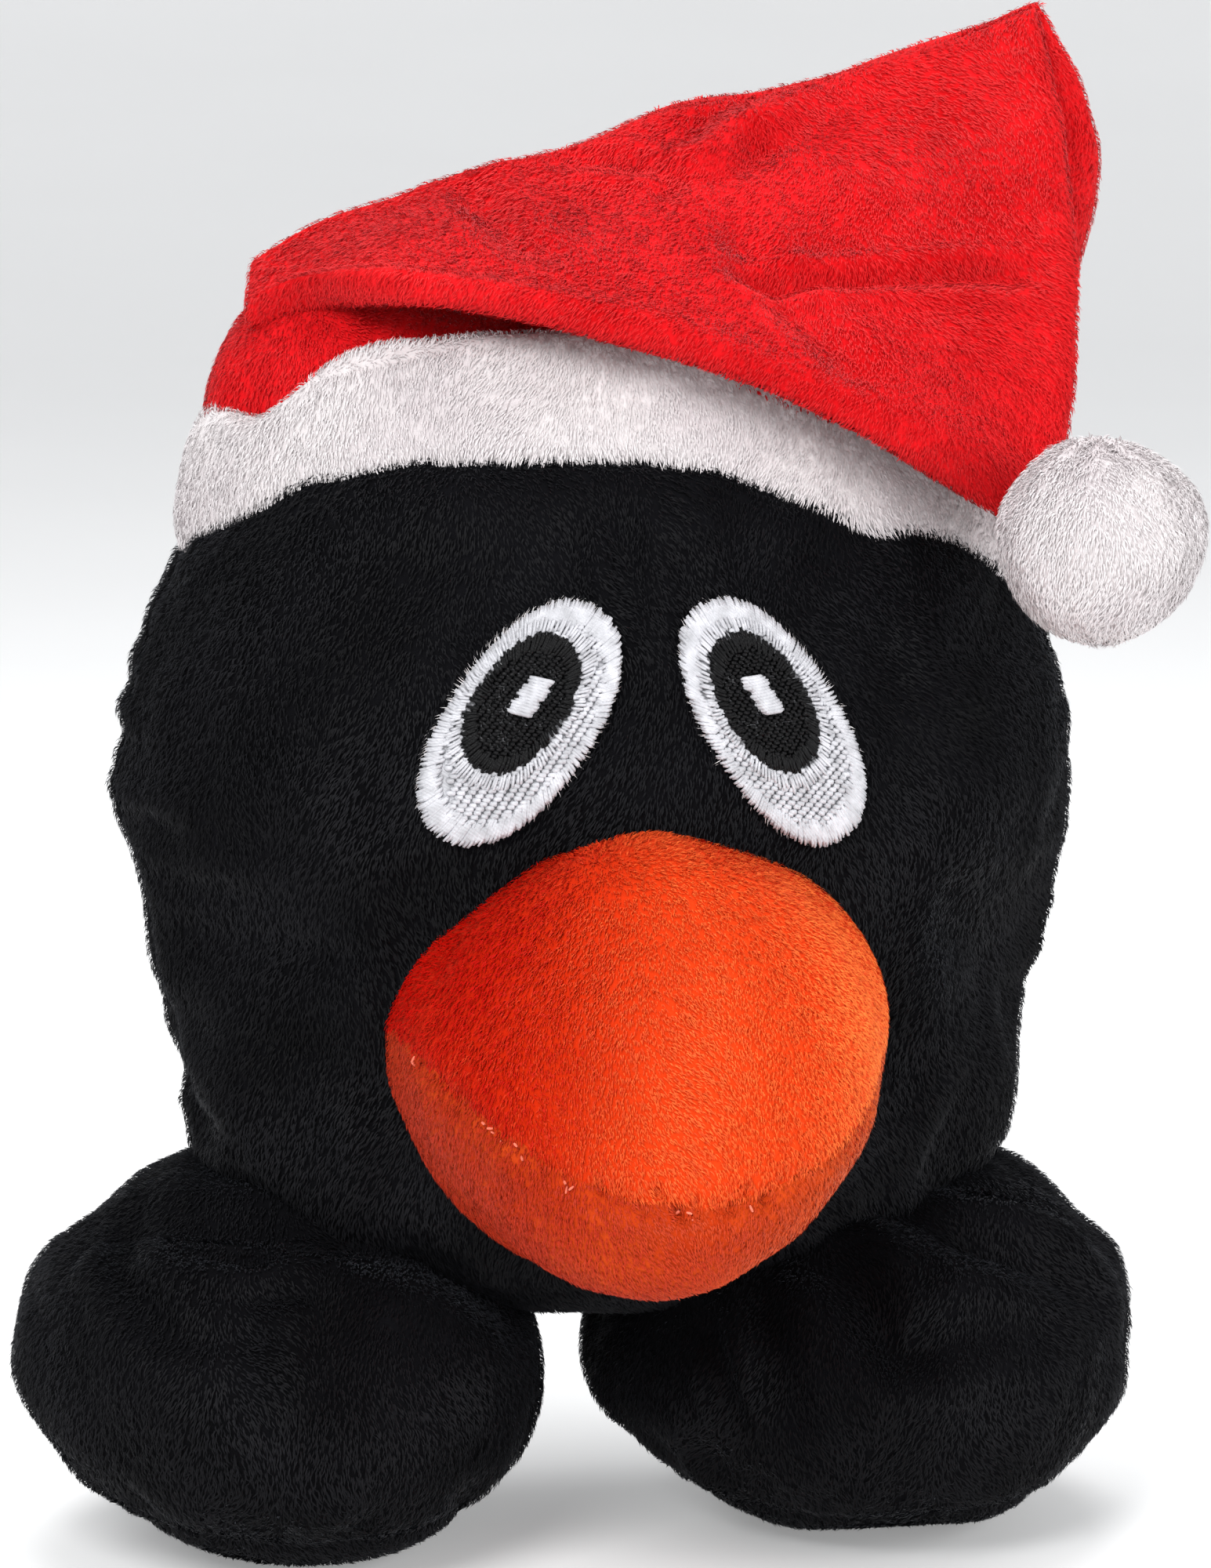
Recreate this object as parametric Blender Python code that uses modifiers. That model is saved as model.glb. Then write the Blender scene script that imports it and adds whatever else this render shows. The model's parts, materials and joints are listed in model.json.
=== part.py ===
"""Plush penguin in a floppy hat, standing on two stuffed feet.

Every design number is in millimetres and MM turns it into metres.
Design axes: +Z up from the floor, the face looks along -Y, X runs to the viewer's right.
"""
import bpy
import bmesh
import numpy as np
from math import cos, sin, pi, radians, sqrt
from mathutils import Matrix, Vector

MM = 0.001

# ---------------------------------------------------------------- driving dimensions
FRAME_SHIFT = (2.2, 14.0)            # body centre measured from the middle of the outline
GAP = 0.3                            # clearance between pieces that touch
SEAM_APART = 0.8                     # how far each panel is drawn back from its seam
CLOTH = 1.2                          # plush and its backing
STUFFING_INSET = 2.4                 # stuffing surface below the cloth's outer face

BODY_X = 0.4
BODY_DEPTH = 0.78                    # depth over width
BODY_PROFILE = [(0, 30), (13, 30), (26.5, 31.5), (36, 36), (41.6, 44), (42.6, 54), (45.6, 66),
                (48.2, 78), (46.0, 91), (41.0, 103), (33.5, 114), (24, 122), (12.5, 127.2), (0, 129)]

FOOT = {
    "left": {"centre": (-33.1, -2.0, 20.5), "half": (27.2, 30.0)},
    "right": {"centre": (27.2, -2.0, 20.5), "half": (28.7, 30.0)},
}
FOOT_HALF_UP = 21.0
SOCKET_CLEAR = 2.4                   # room round each foot in the body's underside
STUFFING_LOW = 38.0                  # underside of the body's stuffing
STUFFING_SHARE = 1.4                 # how much further the stuffing keeps from the feet
FOOT_HALF_DOWN = 24.0                # the floor cuts this off flat
FOOT_SWING = (-15, 15)               # degrees, toe down and toe up
SOLE_EDGE = 5.0                      # height of the seam round the sole

BEAK_X = -1.7
BEAK_MOUTH_Z = 58.0                  # height of the mouth corners
BEAK_TIP = (-65.0, 46.5)             # Y and Z of the mouth seam's foremost point
BEAK_HALF_WIDTH = 23.3
BEAK_RISE = 19.2
BEAK_DROP = 22.5
BEAK_OFF_FACE = 1.5                  # the rim stands this far off the body's cloth
BEAK_SEAM_HALF = 0.21                # half the gap along the mouth seam
BEAK_FOOT_CLEAR = 0.9

EYE = {                              # X and Z of each layer's centre, and the top's lean in degrees
    "left": {"lean": 36.0, "white": (-13.2, 88.3), "pupil": (-13.2, 90.3), "highlight": (-12.3, 91.0)},
    "right": {"lean": -32.0, "white": (11.4, 87.9), "pupil": (10.4, 90.0), "highlight": (10.1, 90.8)},
}
WHITE_HALF = (6.6, 13.4)
PUPIL_HALF = (4.2, 7.6)
HIGHLIGHT_HALF = (1.1, 2.0)
THREAD_LAYER = 0.7
THREAD_BULGE = 0.4                   # power that rounds each embroidered layer's front

BAND_LEVEL = 104.5                   # height of the band's middle line behind the head
BAND_LEAN = 4.0                      # how much higher the left side sits, and lower the right
BAND_ARCH = 13.8                     # how much higher it sits on the forehead
BAND_HALF_HEIGHT = 6.4
BAND_THICKNESS = 4.4
BAND_LINING = 1.7                    # inner face of the band, out from the head
BAND_ROUNDNESS = 0.7                 # power of the band's cross-section; 1 is an ellipse
ARCH_POWER = 1.2
RING_RADIUS = 10.0                   # the ring primitive, before it is laid round the head

HEAD_CLEAR = 3.4                     # outer face of the crown, out from the head
CROWN_ABOVE_BAND = 0.6
CROWN_HALF_LENGTH = 40.5             # half the crown's seam under the fold
CROWN_HALF_GAP = 0.9                 # half the gap between the crown's panels at that seam
CROWN_BELOW_FOLD = 3.4
CROWN_BEHIND_FOLD = 1.5
CROWN_FULLNESS = {"back": 6.0, "right": 4.5, "left": 2.5}
RIDGE_LEFT = (-34.0, 132.0)          # X and Z of the fold's ends
RIDGE_RIGHT = (46.0, 157.0)
FOLD_Y = 1.5
TIP_HALF_THICKNESS = 1.5
TIP_APEX_X = 40.5
TIP_CLOTH = 1.0
TIP_OVERHANG = 3.0                   # how far the tip reaches past the fold's ends
TIP_SLOPE = (0.0, -0.55, 0.83)       # the way the folded tip's front faces
TIP_LAYERS = {"front": 0.5, "back": -1.5}
TIP_OFF_BAND = 2.2                   # inner layer's middle, out from the band
HEM_TOP = 129.9                      # height of the hem's left end
HEM_SLANT = 0.0046                   # the hem falls by this times the square of its run
HEM_LEFT = -35.0
HEM_START_Y = -17.0
HEM_FORWARD = 18.0                   # how far the hem comes forward over the forehead
HEM_BACK = 8.0                       # and goes back again at the tip
HEM_TURN = 0.75                      # share of the hem where it is foremost

POMPOM_CENTRE = (42.6, -39.5, 105.6)
POMPOM_RADIUS = 10.7
POMPOM_NECK = (41.8, -28.5, 112.0)   # where the pompom is sewn on
POMPOM_MOUTH = 0.96                  # share of its radius where the cover is gathered
POMPOM_THREAD = {"radius": 1.0, "length": 1.9, "sunk": 0.9}

COLOURS = {
    "black_plush": (0.008, 0.008, 0.010, 1),
    "orange_plush": (0.85, 0.05, 0.006, 1),
    "red_plush": (0.72, 0.010, 0.014, 1),
    "white_plush": (0.85, 0.82, 0.80, 1),
    "white_thread": (0.72, 0.72, 0.74, 1),
    "black_thread": (0.012, 0.012, 0.014, 1),
    "fibre_fill": (0.90, 0.89, 0.86, 1),
}


# ---------------------------------------------------------------- scene and materials
def clear_scene():
    for old in list(bpy.data.objects):
        bpy.data.objects.remove(old, do_unlink=True)


def make_material(name, colour):
    material = bpy.data.materials.new(name)
    material.use_nodes = True
    shader = material.node_tree.nodes["Principled BSDF"]
    shader.inputs["Base Color"].default_value = COLOURS[colour]
    shader.inputs["Roughness"].default_value = 0.9
    shader.inputs["Metallic"].default_value = 0.0
    return material


def add_node(name, mesh, colour):
    """Put one finished mesh, drawn in millimetres, into the toy's collection."""
    mesh.transform(Matrix.Scale(MM, 4))
    mesh.shade_smooth()
    mesh.materials.append(make_material(name + "_material", colour))
    node = bpy.data.objects.new(name, mesh)
    collection.objects.link(node)
    node.parent = toy_frame
    return node


def solidify(node, thickness):
    """Give an open sheet its thickness, inwards from its outer face."""
    shell = node.modifiers.new("cloth", "SOLIDIFY")
    shell.thickness = thickness * MM
    shell.offset = -1
    return node


# ---------------------------------------------------------------- shape functions
def spline(points, s):
    """Smooth curve through points, s from 0 to 1."""
    place = min(max(s, 0.0), 1.0) * (len(points) - 1)
    i = min(int(place), len(points) - 2)
    t = place - i
    p = [np.array(points[min(max(i + k, 0), len(points) - 1)], float) for k in (-1, 0, 1, 2)]
    return 0.5 * (2 * p[1] + (p[2] - p[0]) * t + (2 * p[0] - 5 * p[1] + 4 * p[2] - p[3]) * t * t
                  + (3 * p[1] - p[0] - 3 * p[2] + p[3]) * t ** 3)


PROFILE_LINE = np.array([spline(BODY_PROFILE, k / 120) for k in range(10, 121)])
BODY_LOW = BODY_PROFILE[0][1]
BODY_TOP = BODY_PROFILE[-1][1]


def half_width(z):
    return float(np.interp(z, PROFILE_LINE[:, 1], PROFILE_LINE[:, 0]))


def body_front(x, z):
    """Y of the body's front at x and z."""
    inside = half_width(z) ** 2 - (x - BODY_X) ** 2
    return -BODY_DEPTH * sqrt(max(inside, 0.0)) - SEAM_APART


def clear_feet(point, margin):
    """Move a point out of the space that both feet sweep."""
    point = Vector(point)
    for foot in FOOT.values():
        centre = Vector(foot["centre"])
        half = Vector((*foot["half"], FOOT_HALF_UP)) + Vector((margin, margin, margin))
        for angle in range(FOOT_SWING[0], FOOT_SWING[1] + 1, 5):
            turn = Matrix.Rotation(radians(-angle), 3, "X")
            local = turn.inverted() @ (point - centre)
            unit = Vector((local.x / half.x, local.y / half.y, local.z / half.z))
            if 1e-6 < unit.length < 1:
                point = centre + turn @ (local / unit.length)
    return point


def body_point(angle, s, inset=0.0):
    radius, z = spline(BODY_PROFILE, s)
    middle = (BODY_LOW + BODY_TOP) / 2
    z = middle + (z - middle) * (1 - 2 * inset / (BODY_TOP - BODY_LOW))
    radius = max(radius - inset, 0.0)
    if inset:
        z = max(z, STUFFING_LOW)
    point = Vector((BODY_X + radius * cos(angle), BODY_DEPTH * radius * sin(angle), z))
    for repeat in range(3):
        point = clear_feet(point, SOCKET_CLEAR + STUFFING_SHARE * inset)
    return point


def band_level(angle):
    arch = max(0.0, -sin(angle)) ** ARCH_POWER
    return BAND_LEVEL - BAND_LEAN * cos(angle) + BAND_ARCH * arch


def head_point(angle, height, offset):
    """Point beside the head: height up from the band's middle line, offset out from the cloth."""
    z = band_level(angle) + height
    radius = half_width(z)
    x = BODY_X + (radius + offset) * cos(angle)
    y = (BODY_DEPTH * radius + offset) * sin(angle)
    return Vector((x, y, z))


def outside_head(point, margin):
    """Move a point sideways until it is margin clear of the head."""
    if point.z > BODY_TOP + margin:
        return point
    wide = half_width(point.z) + margin
    deep = BODY_DEPTH * half_width(point.z) + margin
    reach = sqrt(((point.x - BODY_X) / wide) ** 2 + (point.y / deep) ** 2)
    if reach < 1:
        return Vector((BODY_X + (point.x - BODY_X) / reach, point.y / reach, point.z))
    return point


def ridge_z(x):
    slope = (RIDGE_RIGHT[1] - RIDGE_LEFT[1]) / (RIDGE_RIGHT[0] - RIDGE_LEFT[0])
    return RIDGE_LEFT[1] + slope * (x - RIDGE_LEFT[0])


# ---------------------------------------------------------------- mesh makers
def patch(columns, rows, shape):
    """A grid primitive laid over shape(u, v), both from 0 to 1; edges that meet are joined."""
    work = bmesh.new()
    bmesh.ops.create_grid(work, x_segments=columns, y_segments=rows, size=0.5)
    for vertex in work.verts:
        vertex.co = shape(vertex.co.x + 0.5, vertex.co.y + 0.5)
    bmesh.ops.remove_doubles(work, verts=work.verts, dist=0.001)
    return to_mesh(work)


def ball(columns, rows, shape):
    """A UV sphere primitive whose unit directions are moved by shape."""
    work = bmesh.new()
    bmesh.ops.create_uvsphere(work, u_segments=columns, v_segments=rows, radius=1.0)
    for vertex in work.verts:
        vertex.co = shape(vertex.co.copy())
    return to_mesh(work)


def to_mesh(work):
    mesh = bpy.data.meshes.new("shape")
    work.to_mesh(mesh)
    work.free()
    return mesh


def keep_side(mesh, plane_z, keep_above):
    """Cut a closed mesh open at a level and keep one side."""
    work = bmesh.new()
    work.from_mesh(mesh)
    bmesh.ops.bisect_plane(work, geom=work.verts[:] + work.edges[:] + work.faces[:],
                           plane_co=(0, 0, plane_z), plane_no=(0, 0, 1),
                           clear_inner=keep_above, clear_outer=not keep_above)
    work.to_mesh(mesh)
    work.free()
    return mesh


# ---------------------------------------------------------------- body
def add_body():
    seam = {"body_front_panel": (pi, 2 * pi, 16),
            "body_back_right_panel": (0, pi / 2, 8),
            "body_back_left_panel": (pi / 2, pi, 8)}
    for name, (start, end, columns) in seam.items():
        middle = (start + end) / 2
        apart = Vector((cos(middle), sin(middle), 0)) * SEAM_APART

        def shape(u, v):
            return body_point(start + (end - start) * u, v) + apart

        solidify(add_node(name, patch(columns, 20, shape), "black_plush"), CLOTH)

    def stuffing(unit):
        angle = np.arctan2(unit.y, unit.x)
        return body_point(angle, np.arccos(max(-1.0, min(1.0, -unit.z))) / pi, STUFFING_INSET)

    add_node("body_stuffing", ball(16, 10, stuffing), "fibre_fill")


def add_foot(side):
    foot = FOOT[side]
    centre = Vector(foot["centre"])

    def skin(unit, inset=0.0):
        x = (foot["half"][0] - inset) * unit.x
        y = (foot["half"][1] - inset) * unit.y
        z = (FOOT_HALF_UP if unit.z > 0 else FOOT_HALF_DOWN) - inset
        return Vector((centre.x + x, centre.y + y, max(centre.z + z * unit.z, inset)))

    cover = keep_side(ball(18, 12, skin), SOLE_EDGE + GAP / 2, True)
    sole = keep_side(ball(18, 12, skin), SOLE_EDGE - GAP / 2, False)
    solidify(add_node("foot_cover_" + side, cover, "black_plush"), CLOTH)
    solidify(add_node("foot_sole_" + side, sole, "black_plush"), CLOTH)
    add_node("foot_stuffing_" + side, ball(14, 8, lambda u: skin(u, STUFFING_INSET)), "fibre_fill")


# ---------------------------------------------------------------- face
def beak_point(angle, forward, inset=0.0):
    """Dome of the beak: angle round the mouth, forward from 0 at the face to 1 at the tip."""
    shrink = cos(forward * pi / 2)
    reach = sin(forward * pi / 2)
    rise = (BEAK_RISE if sin(angle) > 0 else BEAK_DROP) - inset
    level = BEAK_MOUTH_Z + (BEAK_TIP[1] - BEAK_MOUTH_Z) * reach ** 2
    x = BEAK_X + (BEAK_HALF_WIDTH - inset) * shrink * cos(angle)
    z = level + rise * shrink * sin(angle)
    rim = body_front(x, z) - BEAK_OFF_FACE
    y = rim * (1 - reach) + (BEAK_TIP[0] + inset) * reach
    return clear_feet((x, y, z), BEAK_FOOT_CLEAR)


def add_beak():
    for name, start in (("beak_upper_panel", 0), ("beak_lower_panel", pi)):
        apart = Vector((0, 0, -BEAK_SEAM_HALF if start else BEAK_SEAM_HALF))

        def shape(u, v):
            return beak_point(start + pi * (1 - u), v) + apart

        solidify(add_node(name, patch(14, 7, shape), "orange_plush"), CLOTH)

    def stuffing(unit):
        angle = np.arctan2(unit.z, unit.x)
        forward = max(0.0, 1 - np.arccos(min(1.0, -unit.y)) / (pi / 2))
        point = beak_point(angle, forward, STUFFING_INSET)
        if unit.y > 0.01:
            spread = sqrt(1 - unit.y ** 2)
            rim = beak_point(angle, 0.0, STUFFING_INSET)
            x = BEAK_X + (rim.x - BEAK_X) * spread
            z = BEAK_MOUTH_Z + (rim.z - BEAK_MOUTH_Z) * spread
            point = Vector((x, body_front(x, z) - CLOTH, z))
        return point

    add_node("beak_stuffing", ball(16, 10, stuffing), "fibre_fill")


def add_eye(side):
    tilt = radians(EYE[side]["lean"])
    layers = (("white", WHITE_HALF, 0, "white_thread"),
              ("pupil", PUPIL_HALF, 1, "black_thread"),
              ("highlight", HIGHLIGHT_HALF, 2, "white_thread"))
    for layer, half, level, colour in layers:
        middle_x, middle_z = EYE[side][layer]
        back = GAP + level * (THREAD_LAYER + GAP)

        def shape(unit):
            along = half[1] * unit.z
            across = half[0] * unit.x
            x = middle_x + across * cos(tilt) + along * sin(tilt)
            z = middle_z - across * sin(tilt) + along * cos(tilt)
            depth = back + (THREAD_LAYER * abs(unit.y) ** THREAD_BULGE if unit.y < 0 else 0.0)
            return Vector((x, body_front(x, z) - depth, z))

        add_node("eye_" + layer + "_" + side, ball(14, 6, shape), colour)


# ---------------------------------------------------------------- hat
def add_band():
    bpy.ops.mesh.primitive_torus_add(major_segments=40, minor_segments=8,
                                     major_radius=RING_RADIUS, minor_radius=1)
    ring = bpy.context.object
    mesh = ring.data.copy()
    bpy.data.objects.remove(ring, do_unlink=True)
    for vertex in mesh.vertices:
        angle = np.arctan2(vertex.co.y, vertex.co.x)
        out = sqrt(vertex.co.x ** 2 + vertex.co.y ** 2) - RING_RADIUS
        height = BAND_HALF_HEIGHT * np.sign(vertex.co.z) * abs(vertex.co.z) ** BAND_ROUNDNESS
        offset = BAND_LINING + (BAND_THICKNESS - BAND_LINING) * (0.5 + 0.5 * out)
        vertex.co = head_point(angle, height, offset)
    add_node("hat_band", mesh, "white_plush")


def add_crown():
    for name, start in (("hat_crown_front_panel", pi), ("hat_crown_back_panel", 0)):
        way = -1 if start else 1

        def shape(u, v):
            angle = start + pi * u
            low = head_point(angle, BAND_HALF_HEIGHT + CROWN_ABOVE_BAND, HEAD_CLEAR)
            x = (RIDGE_LEFT[0] + RIDGE_RIGHT[0]) / 2 + CROWN_HALF_LENGTH * cos(angle)
            high_y = FOLD_Y + CROWN_BEHIND_FOLD + CROWN_HALF_GAP * way
            high = Vector((x, high_y, ridge_z(x) - CROWN_BELOW_FOLD))
            point = low.lerp(high, v)
            fullness = 4 * v * (1 - v)
            end = "right" if cos(angle) > 0 else "left"
            if way > 0:
                point.y += CROWN_FULLNESS["back"] * sin(angle) * fullness
            point.x += CROWN_FULLNESS[end] * cos(angle) * fullness
            point = outside_head(point, HEAD_CLEAR)
            point.y += way * GAP
            return point

        solidify(add_node(name, patch(14, 7, shape), "red_plush"), TIP_CLOTH)


def tip_middle(u, v):
    """Middle surface of the folded-over tip: u along the fold, v down from the fold to the hem."""
    top_x = RIDGE_LEFT[0] + (RIDGE_RIGHT[0] - RIDGE_LEFT[0]) * u
    top = Vector((top_x, FOLD_Y, ridge_z(top_x) - TIP_HALF_THICKNESS))
    hem_start = RIDGE_LEFT[0] - TIP_OVERHANG
    low_x = hem_start + (TIP_APEX_X - hem_start) * u
    low_z = HEM_TOP - HEM_SLANT * (low_x - HEM_LEFT) ** 2
    back_again = HEM_BACK * max(u - HEM_TURN, 0) / (1 - HEM_TURN)
    low_y = HEM_START_Y - HEM_FORWARD * sin(pi * min(u / HEM_TURN, 1) / 2) + back_again
    low = Vector((low_x, low_y, low_z))
    point = top.lerp(low, v)
    point.x += TIP_OVERHANG * u ** 4 * sin(pi * v)
    if half_width(point.z) > abs(point.x - BODY_X):
        point.y = min(point.y, body_front(point.x, point.z) - BAND_THICKNESS - TIP_OFF_BAND)
    return point


def add_tip():
    normal = Vector(TIP_SLOPE).normalized()
    for layer, inner in TIP_LAYERS.items():
        def shape(u, v):
            return tip_middle(u, v) + normal * (inner + TIP_CLOTH)

        panel = add_node("hat_tip_" + layer + "_panel", patch(16, 7, shape), "red_plush")
        solidify(panel, TIP_CLOTH)


def add_pompom():
    centre = Vector(POMPOM_CENTRE)
    neck = (Vector(POMPOM_NECK) - centre).normalized()
    turn = Vector((0, 0, 1)).rotation_difference(neck).to_matrix()

    def cover(unit):
        return centre + turn @ unit * POMPOM_RADIUS

    def fill(unit):
        return centre + turn @ unit * (POMPOM_RADIUS - STUFFING_INSET)

    shell = ball(16, 10, lambda unit: unit * POMPOM_RADIUS)
    shell = keep_side(shell, POMPOM_RADIUS * POMPOM_MOUTH, False)
    shell.transform(Matrix.Translation(centre) @ turn.to_4x4())
    solidify(add_node("pompom_cover", shell, "white_plush"), CLOTH)
    add_node("pompom_stuffing", ball(12, 8, fill), "fibre_fill")

    work = bmesh.new()
    bmesh.ops.create_cone(work, cap_ends=True, segments=12, radius1=POMPOM_THREAD["radius"],
                          radius2=POMPOM_THREAD["radius"], depth=POMPOM_THREAD["length"])
    thread = to_mesh(work)
    place = centre + neck * (POMPOM_RADIUS - POMPOM_THREAD["sunk"])
    thread.transform(Matrix.Translation(place) @ turn.to_4x4())
    add_node("pompom_thread", thread, "white_thread")


clear_scene()
collection = bpy.data.collections.new("plush_penguin")
bpy.context.scene.collection.children.link(collection)
toy_frame = bpy.data.objects.new("toy_frame", None)
toy_frame.location = (FRAME_SHIFT[0] * MM, FRAME_SHIFT[1] * MM, 0)
collection.objects.link(toy_frame)

add_body()
for side_name in FOOT:
    add_foot(side_name)
add_beak()
for side_name in EYE:
    add_eye(side_name)
add_band()
add_crown()
add_tip()
add_pompom()
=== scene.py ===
"""Looks of the plush penguin: short plush over stuffed forms, embroidered eyes and a folded hat.

The toy's numbers are millimetres in the design's axes: +Z up from the floor, the face looks along -Y, and the
origin lies on the floor under the middle of the body. HOME moves them into the frame.
"""
import json
import bpy
import bmesh
import numpy as np
from math import pi, radians
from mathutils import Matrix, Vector


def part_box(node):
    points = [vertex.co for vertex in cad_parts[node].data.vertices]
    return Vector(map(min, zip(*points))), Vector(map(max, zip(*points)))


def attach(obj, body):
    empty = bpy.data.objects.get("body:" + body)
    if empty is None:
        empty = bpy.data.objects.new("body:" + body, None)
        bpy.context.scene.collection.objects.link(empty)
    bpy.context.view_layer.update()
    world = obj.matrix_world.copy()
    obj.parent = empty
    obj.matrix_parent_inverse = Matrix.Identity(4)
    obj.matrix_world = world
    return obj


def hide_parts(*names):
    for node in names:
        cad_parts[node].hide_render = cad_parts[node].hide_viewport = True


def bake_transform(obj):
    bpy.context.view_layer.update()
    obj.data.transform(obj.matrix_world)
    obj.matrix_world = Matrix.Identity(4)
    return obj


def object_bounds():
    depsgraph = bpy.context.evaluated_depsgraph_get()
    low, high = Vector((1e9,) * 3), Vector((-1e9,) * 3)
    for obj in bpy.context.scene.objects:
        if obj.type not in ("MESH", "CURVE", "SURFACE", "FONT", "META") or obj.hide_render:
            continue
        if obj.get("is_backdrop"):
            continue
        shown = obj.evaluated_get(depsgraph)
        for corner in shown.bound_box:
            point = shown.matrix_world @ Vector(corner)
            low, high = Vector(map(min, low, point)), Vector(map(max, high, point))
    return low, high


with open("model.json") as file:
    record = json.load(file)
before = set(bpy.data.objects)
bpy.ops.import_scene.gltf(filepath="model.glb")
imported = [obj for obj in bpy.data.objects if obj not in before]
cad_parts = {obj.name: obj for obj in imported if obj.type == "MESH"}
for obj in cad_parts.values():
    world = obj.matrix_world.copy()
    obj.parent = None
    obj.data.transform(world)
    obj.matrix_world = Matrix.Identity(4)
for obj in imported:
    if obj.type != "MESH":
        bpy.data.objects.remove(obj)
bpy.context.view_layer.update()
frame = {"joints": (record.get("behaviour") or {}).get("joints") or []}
MM = 0.001
WELD = 0.02                         # points closer than this are one, in millimetres


def extent(*nodes):
    """Lowest and highest corner of some CAD nodes, in millimetres."""
    corners = np.array([[tuple(corner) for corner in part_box(node)] for node in nodes]) / MM
    return corners[:, 0].min(0), corners[:, 1].max(0)


def middle(*nodes):
    low, high = extent(*nodes)
    return (low + high) / 2 - HOME


def half_size(*nodes):
    low, high = extent(*nodes)
    return (high - low) / 2


# ---------------------------------------------------------------- driving sizes
BODY_NODES = ("body_front_panel", "body_back_left_panel", "body_back_right_panel")
BODY_X = 0.4                        # the body's own middle
BODY_DEPTH = 0.78                   # depth over width
PILE_STANDS = 0.5                   # how far the lying pile stands off its backing
CLOTH_FRAMES = 20                   # steps of simulation while the stuffing swells
SOFTNESS = 0.6                      # how far each fibre is shaded like the cloth under it

body_low, body_high = extent(*BODY_NODES)
body_middle = (body_low + body_high) / 2
HOME = np.array([body_middle[0] - BODY_X, body_middle[1], 0.0])
HEAD_TOP = body_high[2]

BODY_OUTLINE = [(0, 24.5), (14, 25), (27, 28), (36.5, 34.5), (41.8, 44), (42.8, 54), (45.6, 66),
                (48.2, 78), (46, 91), (41, 103), (33.5, 114), (24, 122), (12.5, 127.2), (0, HEAD_TOP)]

BEAK_MOUTH_Z = 58.0
BEAK_TIP = (-65.0, 46.5)            # Y and Z of the mouth seam's foremost point
BEAK_HALF_WIDTH = half_size("beak_upper_panel")[0]
BEAK_RISE = 19.2
BEAK_DROP = 22.5
BEAK_SAG = 4.2                      # how far the lower half leans to the left
# The upper beak's colour runs from deep orange on the left to lighter on the right: partly its brushed pile,
# partly painted light from the right.
BEAK_TONE_REACH = 24                # how far each way from its middle the upper beak's colour changes
BEAK_TONE_LEAN = 0.3                # how far its colour change leans, for each step down

BAND_LEVEL = 104.5                  # height of the band's middle line behind the head
BAND_LEAN = 4.0
BAND_ARCH = 13.8
BAND_HALF_HEIGHT = 6.4

RIDGE_LEFT = (-34.0, 132.0)         # X and Z of the ends of the hat's top fold
RIDGE_RIGHT = (46.0, 157.0)
FOLD_Y = 1.5
FLAP_HALF_THICKNESS = 1.5
FLAP_APEX_X = 41.2
LOOK_WAY = np.array([0.176, 1.0, -0.143])      # away from the camera, for each step back


# ---------------------------------------------------------------- numbers and curves
def curve_through(points, steps=10):
    """Smooth line through points, with some steps to each span."""
    p = np.array(points, float)
    p = np.vstack([2 * p[0] - p[1], p, 2 * p[-1] - p[-2]])
    t = np.linspace(0, 1, steps, endpoint=False)[:, None]
    spans = []
    for a, b, c, d in zip(p, p[1:], p[2:], p[3:]):
        spans.append(0.5 * (2 * b + (c - a) * t + (2 * a - 5 * b + 4 * c - d) * t ** 2
                            + (3 * b - a - 3 * c + d) * t ** 3))
    return np.vstack(spans + [p[-2:-1]])


def bell(x):
    return np.exp(-x * x)


def step(low, high, x):
    t = np.clip((x - low) / (high - low), 0, 1)
    return t * t * (3 - 2 * t)


def signed_power(x, power):
    return np.sign(x) * np.abs(x) ** power


def unit(v):
    return v / np.maximum(np.linalg.norm(v, axis=-1, keepdims=True), 1e-9)


def waves(points, size, seed):
    """Smooth noise from -1 to 1 whose bumps are about size millimetres across."""
    rng = np.random.default_rng(seed)
    total = np.zeros(len(points))
    for octave in (1.0, 1.0, 1.0, 1.7, 1.7, 1.7):
        way = unit(rng.normal(size=3)) * 2 * pi * octave / (2 * size)
        total += np.sin(points @ way + rng.uniform(0, 2 * pi)) / octave
    return total / 3.2


PROFILE = curve_through(BODY_OUTLINE, 12)
RISING = PROFILE[24:]


def half_width(z):
    return np.interp(z, RISING[:, 1], RISING[:, 0])


def face_y(x, z):
    """Y of the body's front at x and z."""
    inside = half_width(z) ** 2 - (x - BODY_X) ** 2
    return -BODY_DEPTH * np.sqrt(np.maximum(inside, 0.0))


def turns(count):
    """Even turns round a circle, in radians."""
    return np.linspace(0, 2 * pi, count, endpoint=False)


def sweep(around, low, high, rows):
    """Grid of even turns round a form, and of rows from low to high along it."""
    return np.meshgrid(turns(around), np.linspace(low, high, rows))


def turn_round(points):
    """Angle of each point round the body."""
    return np.arctan2(points[:, 1] / BODY_DEPTH, points[:, 0] - BODY_X)


def mottled(level, swing, size, seed):
    """Tone that drifts about a level in patches."""
    return lambda points: level + swing * waves(points, size, seed)


# ---------------------------------------------------------------- meshes
def put_in_scene(name, data):
    piece = bpy.data.objects.new(name, data)
    bpy.context.scene.collection.objects.link(piece)
    return piece


def mesh_from(name, points, faces):
    """Mesh of points in the design's millimetres."""
    mesh = bpy.data.meshes.new(name)
    mesh.from_pydata(((points.reshape(-1, 3) + HOME) * MM).tolist(), [], faces)
    return mesh


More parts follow.
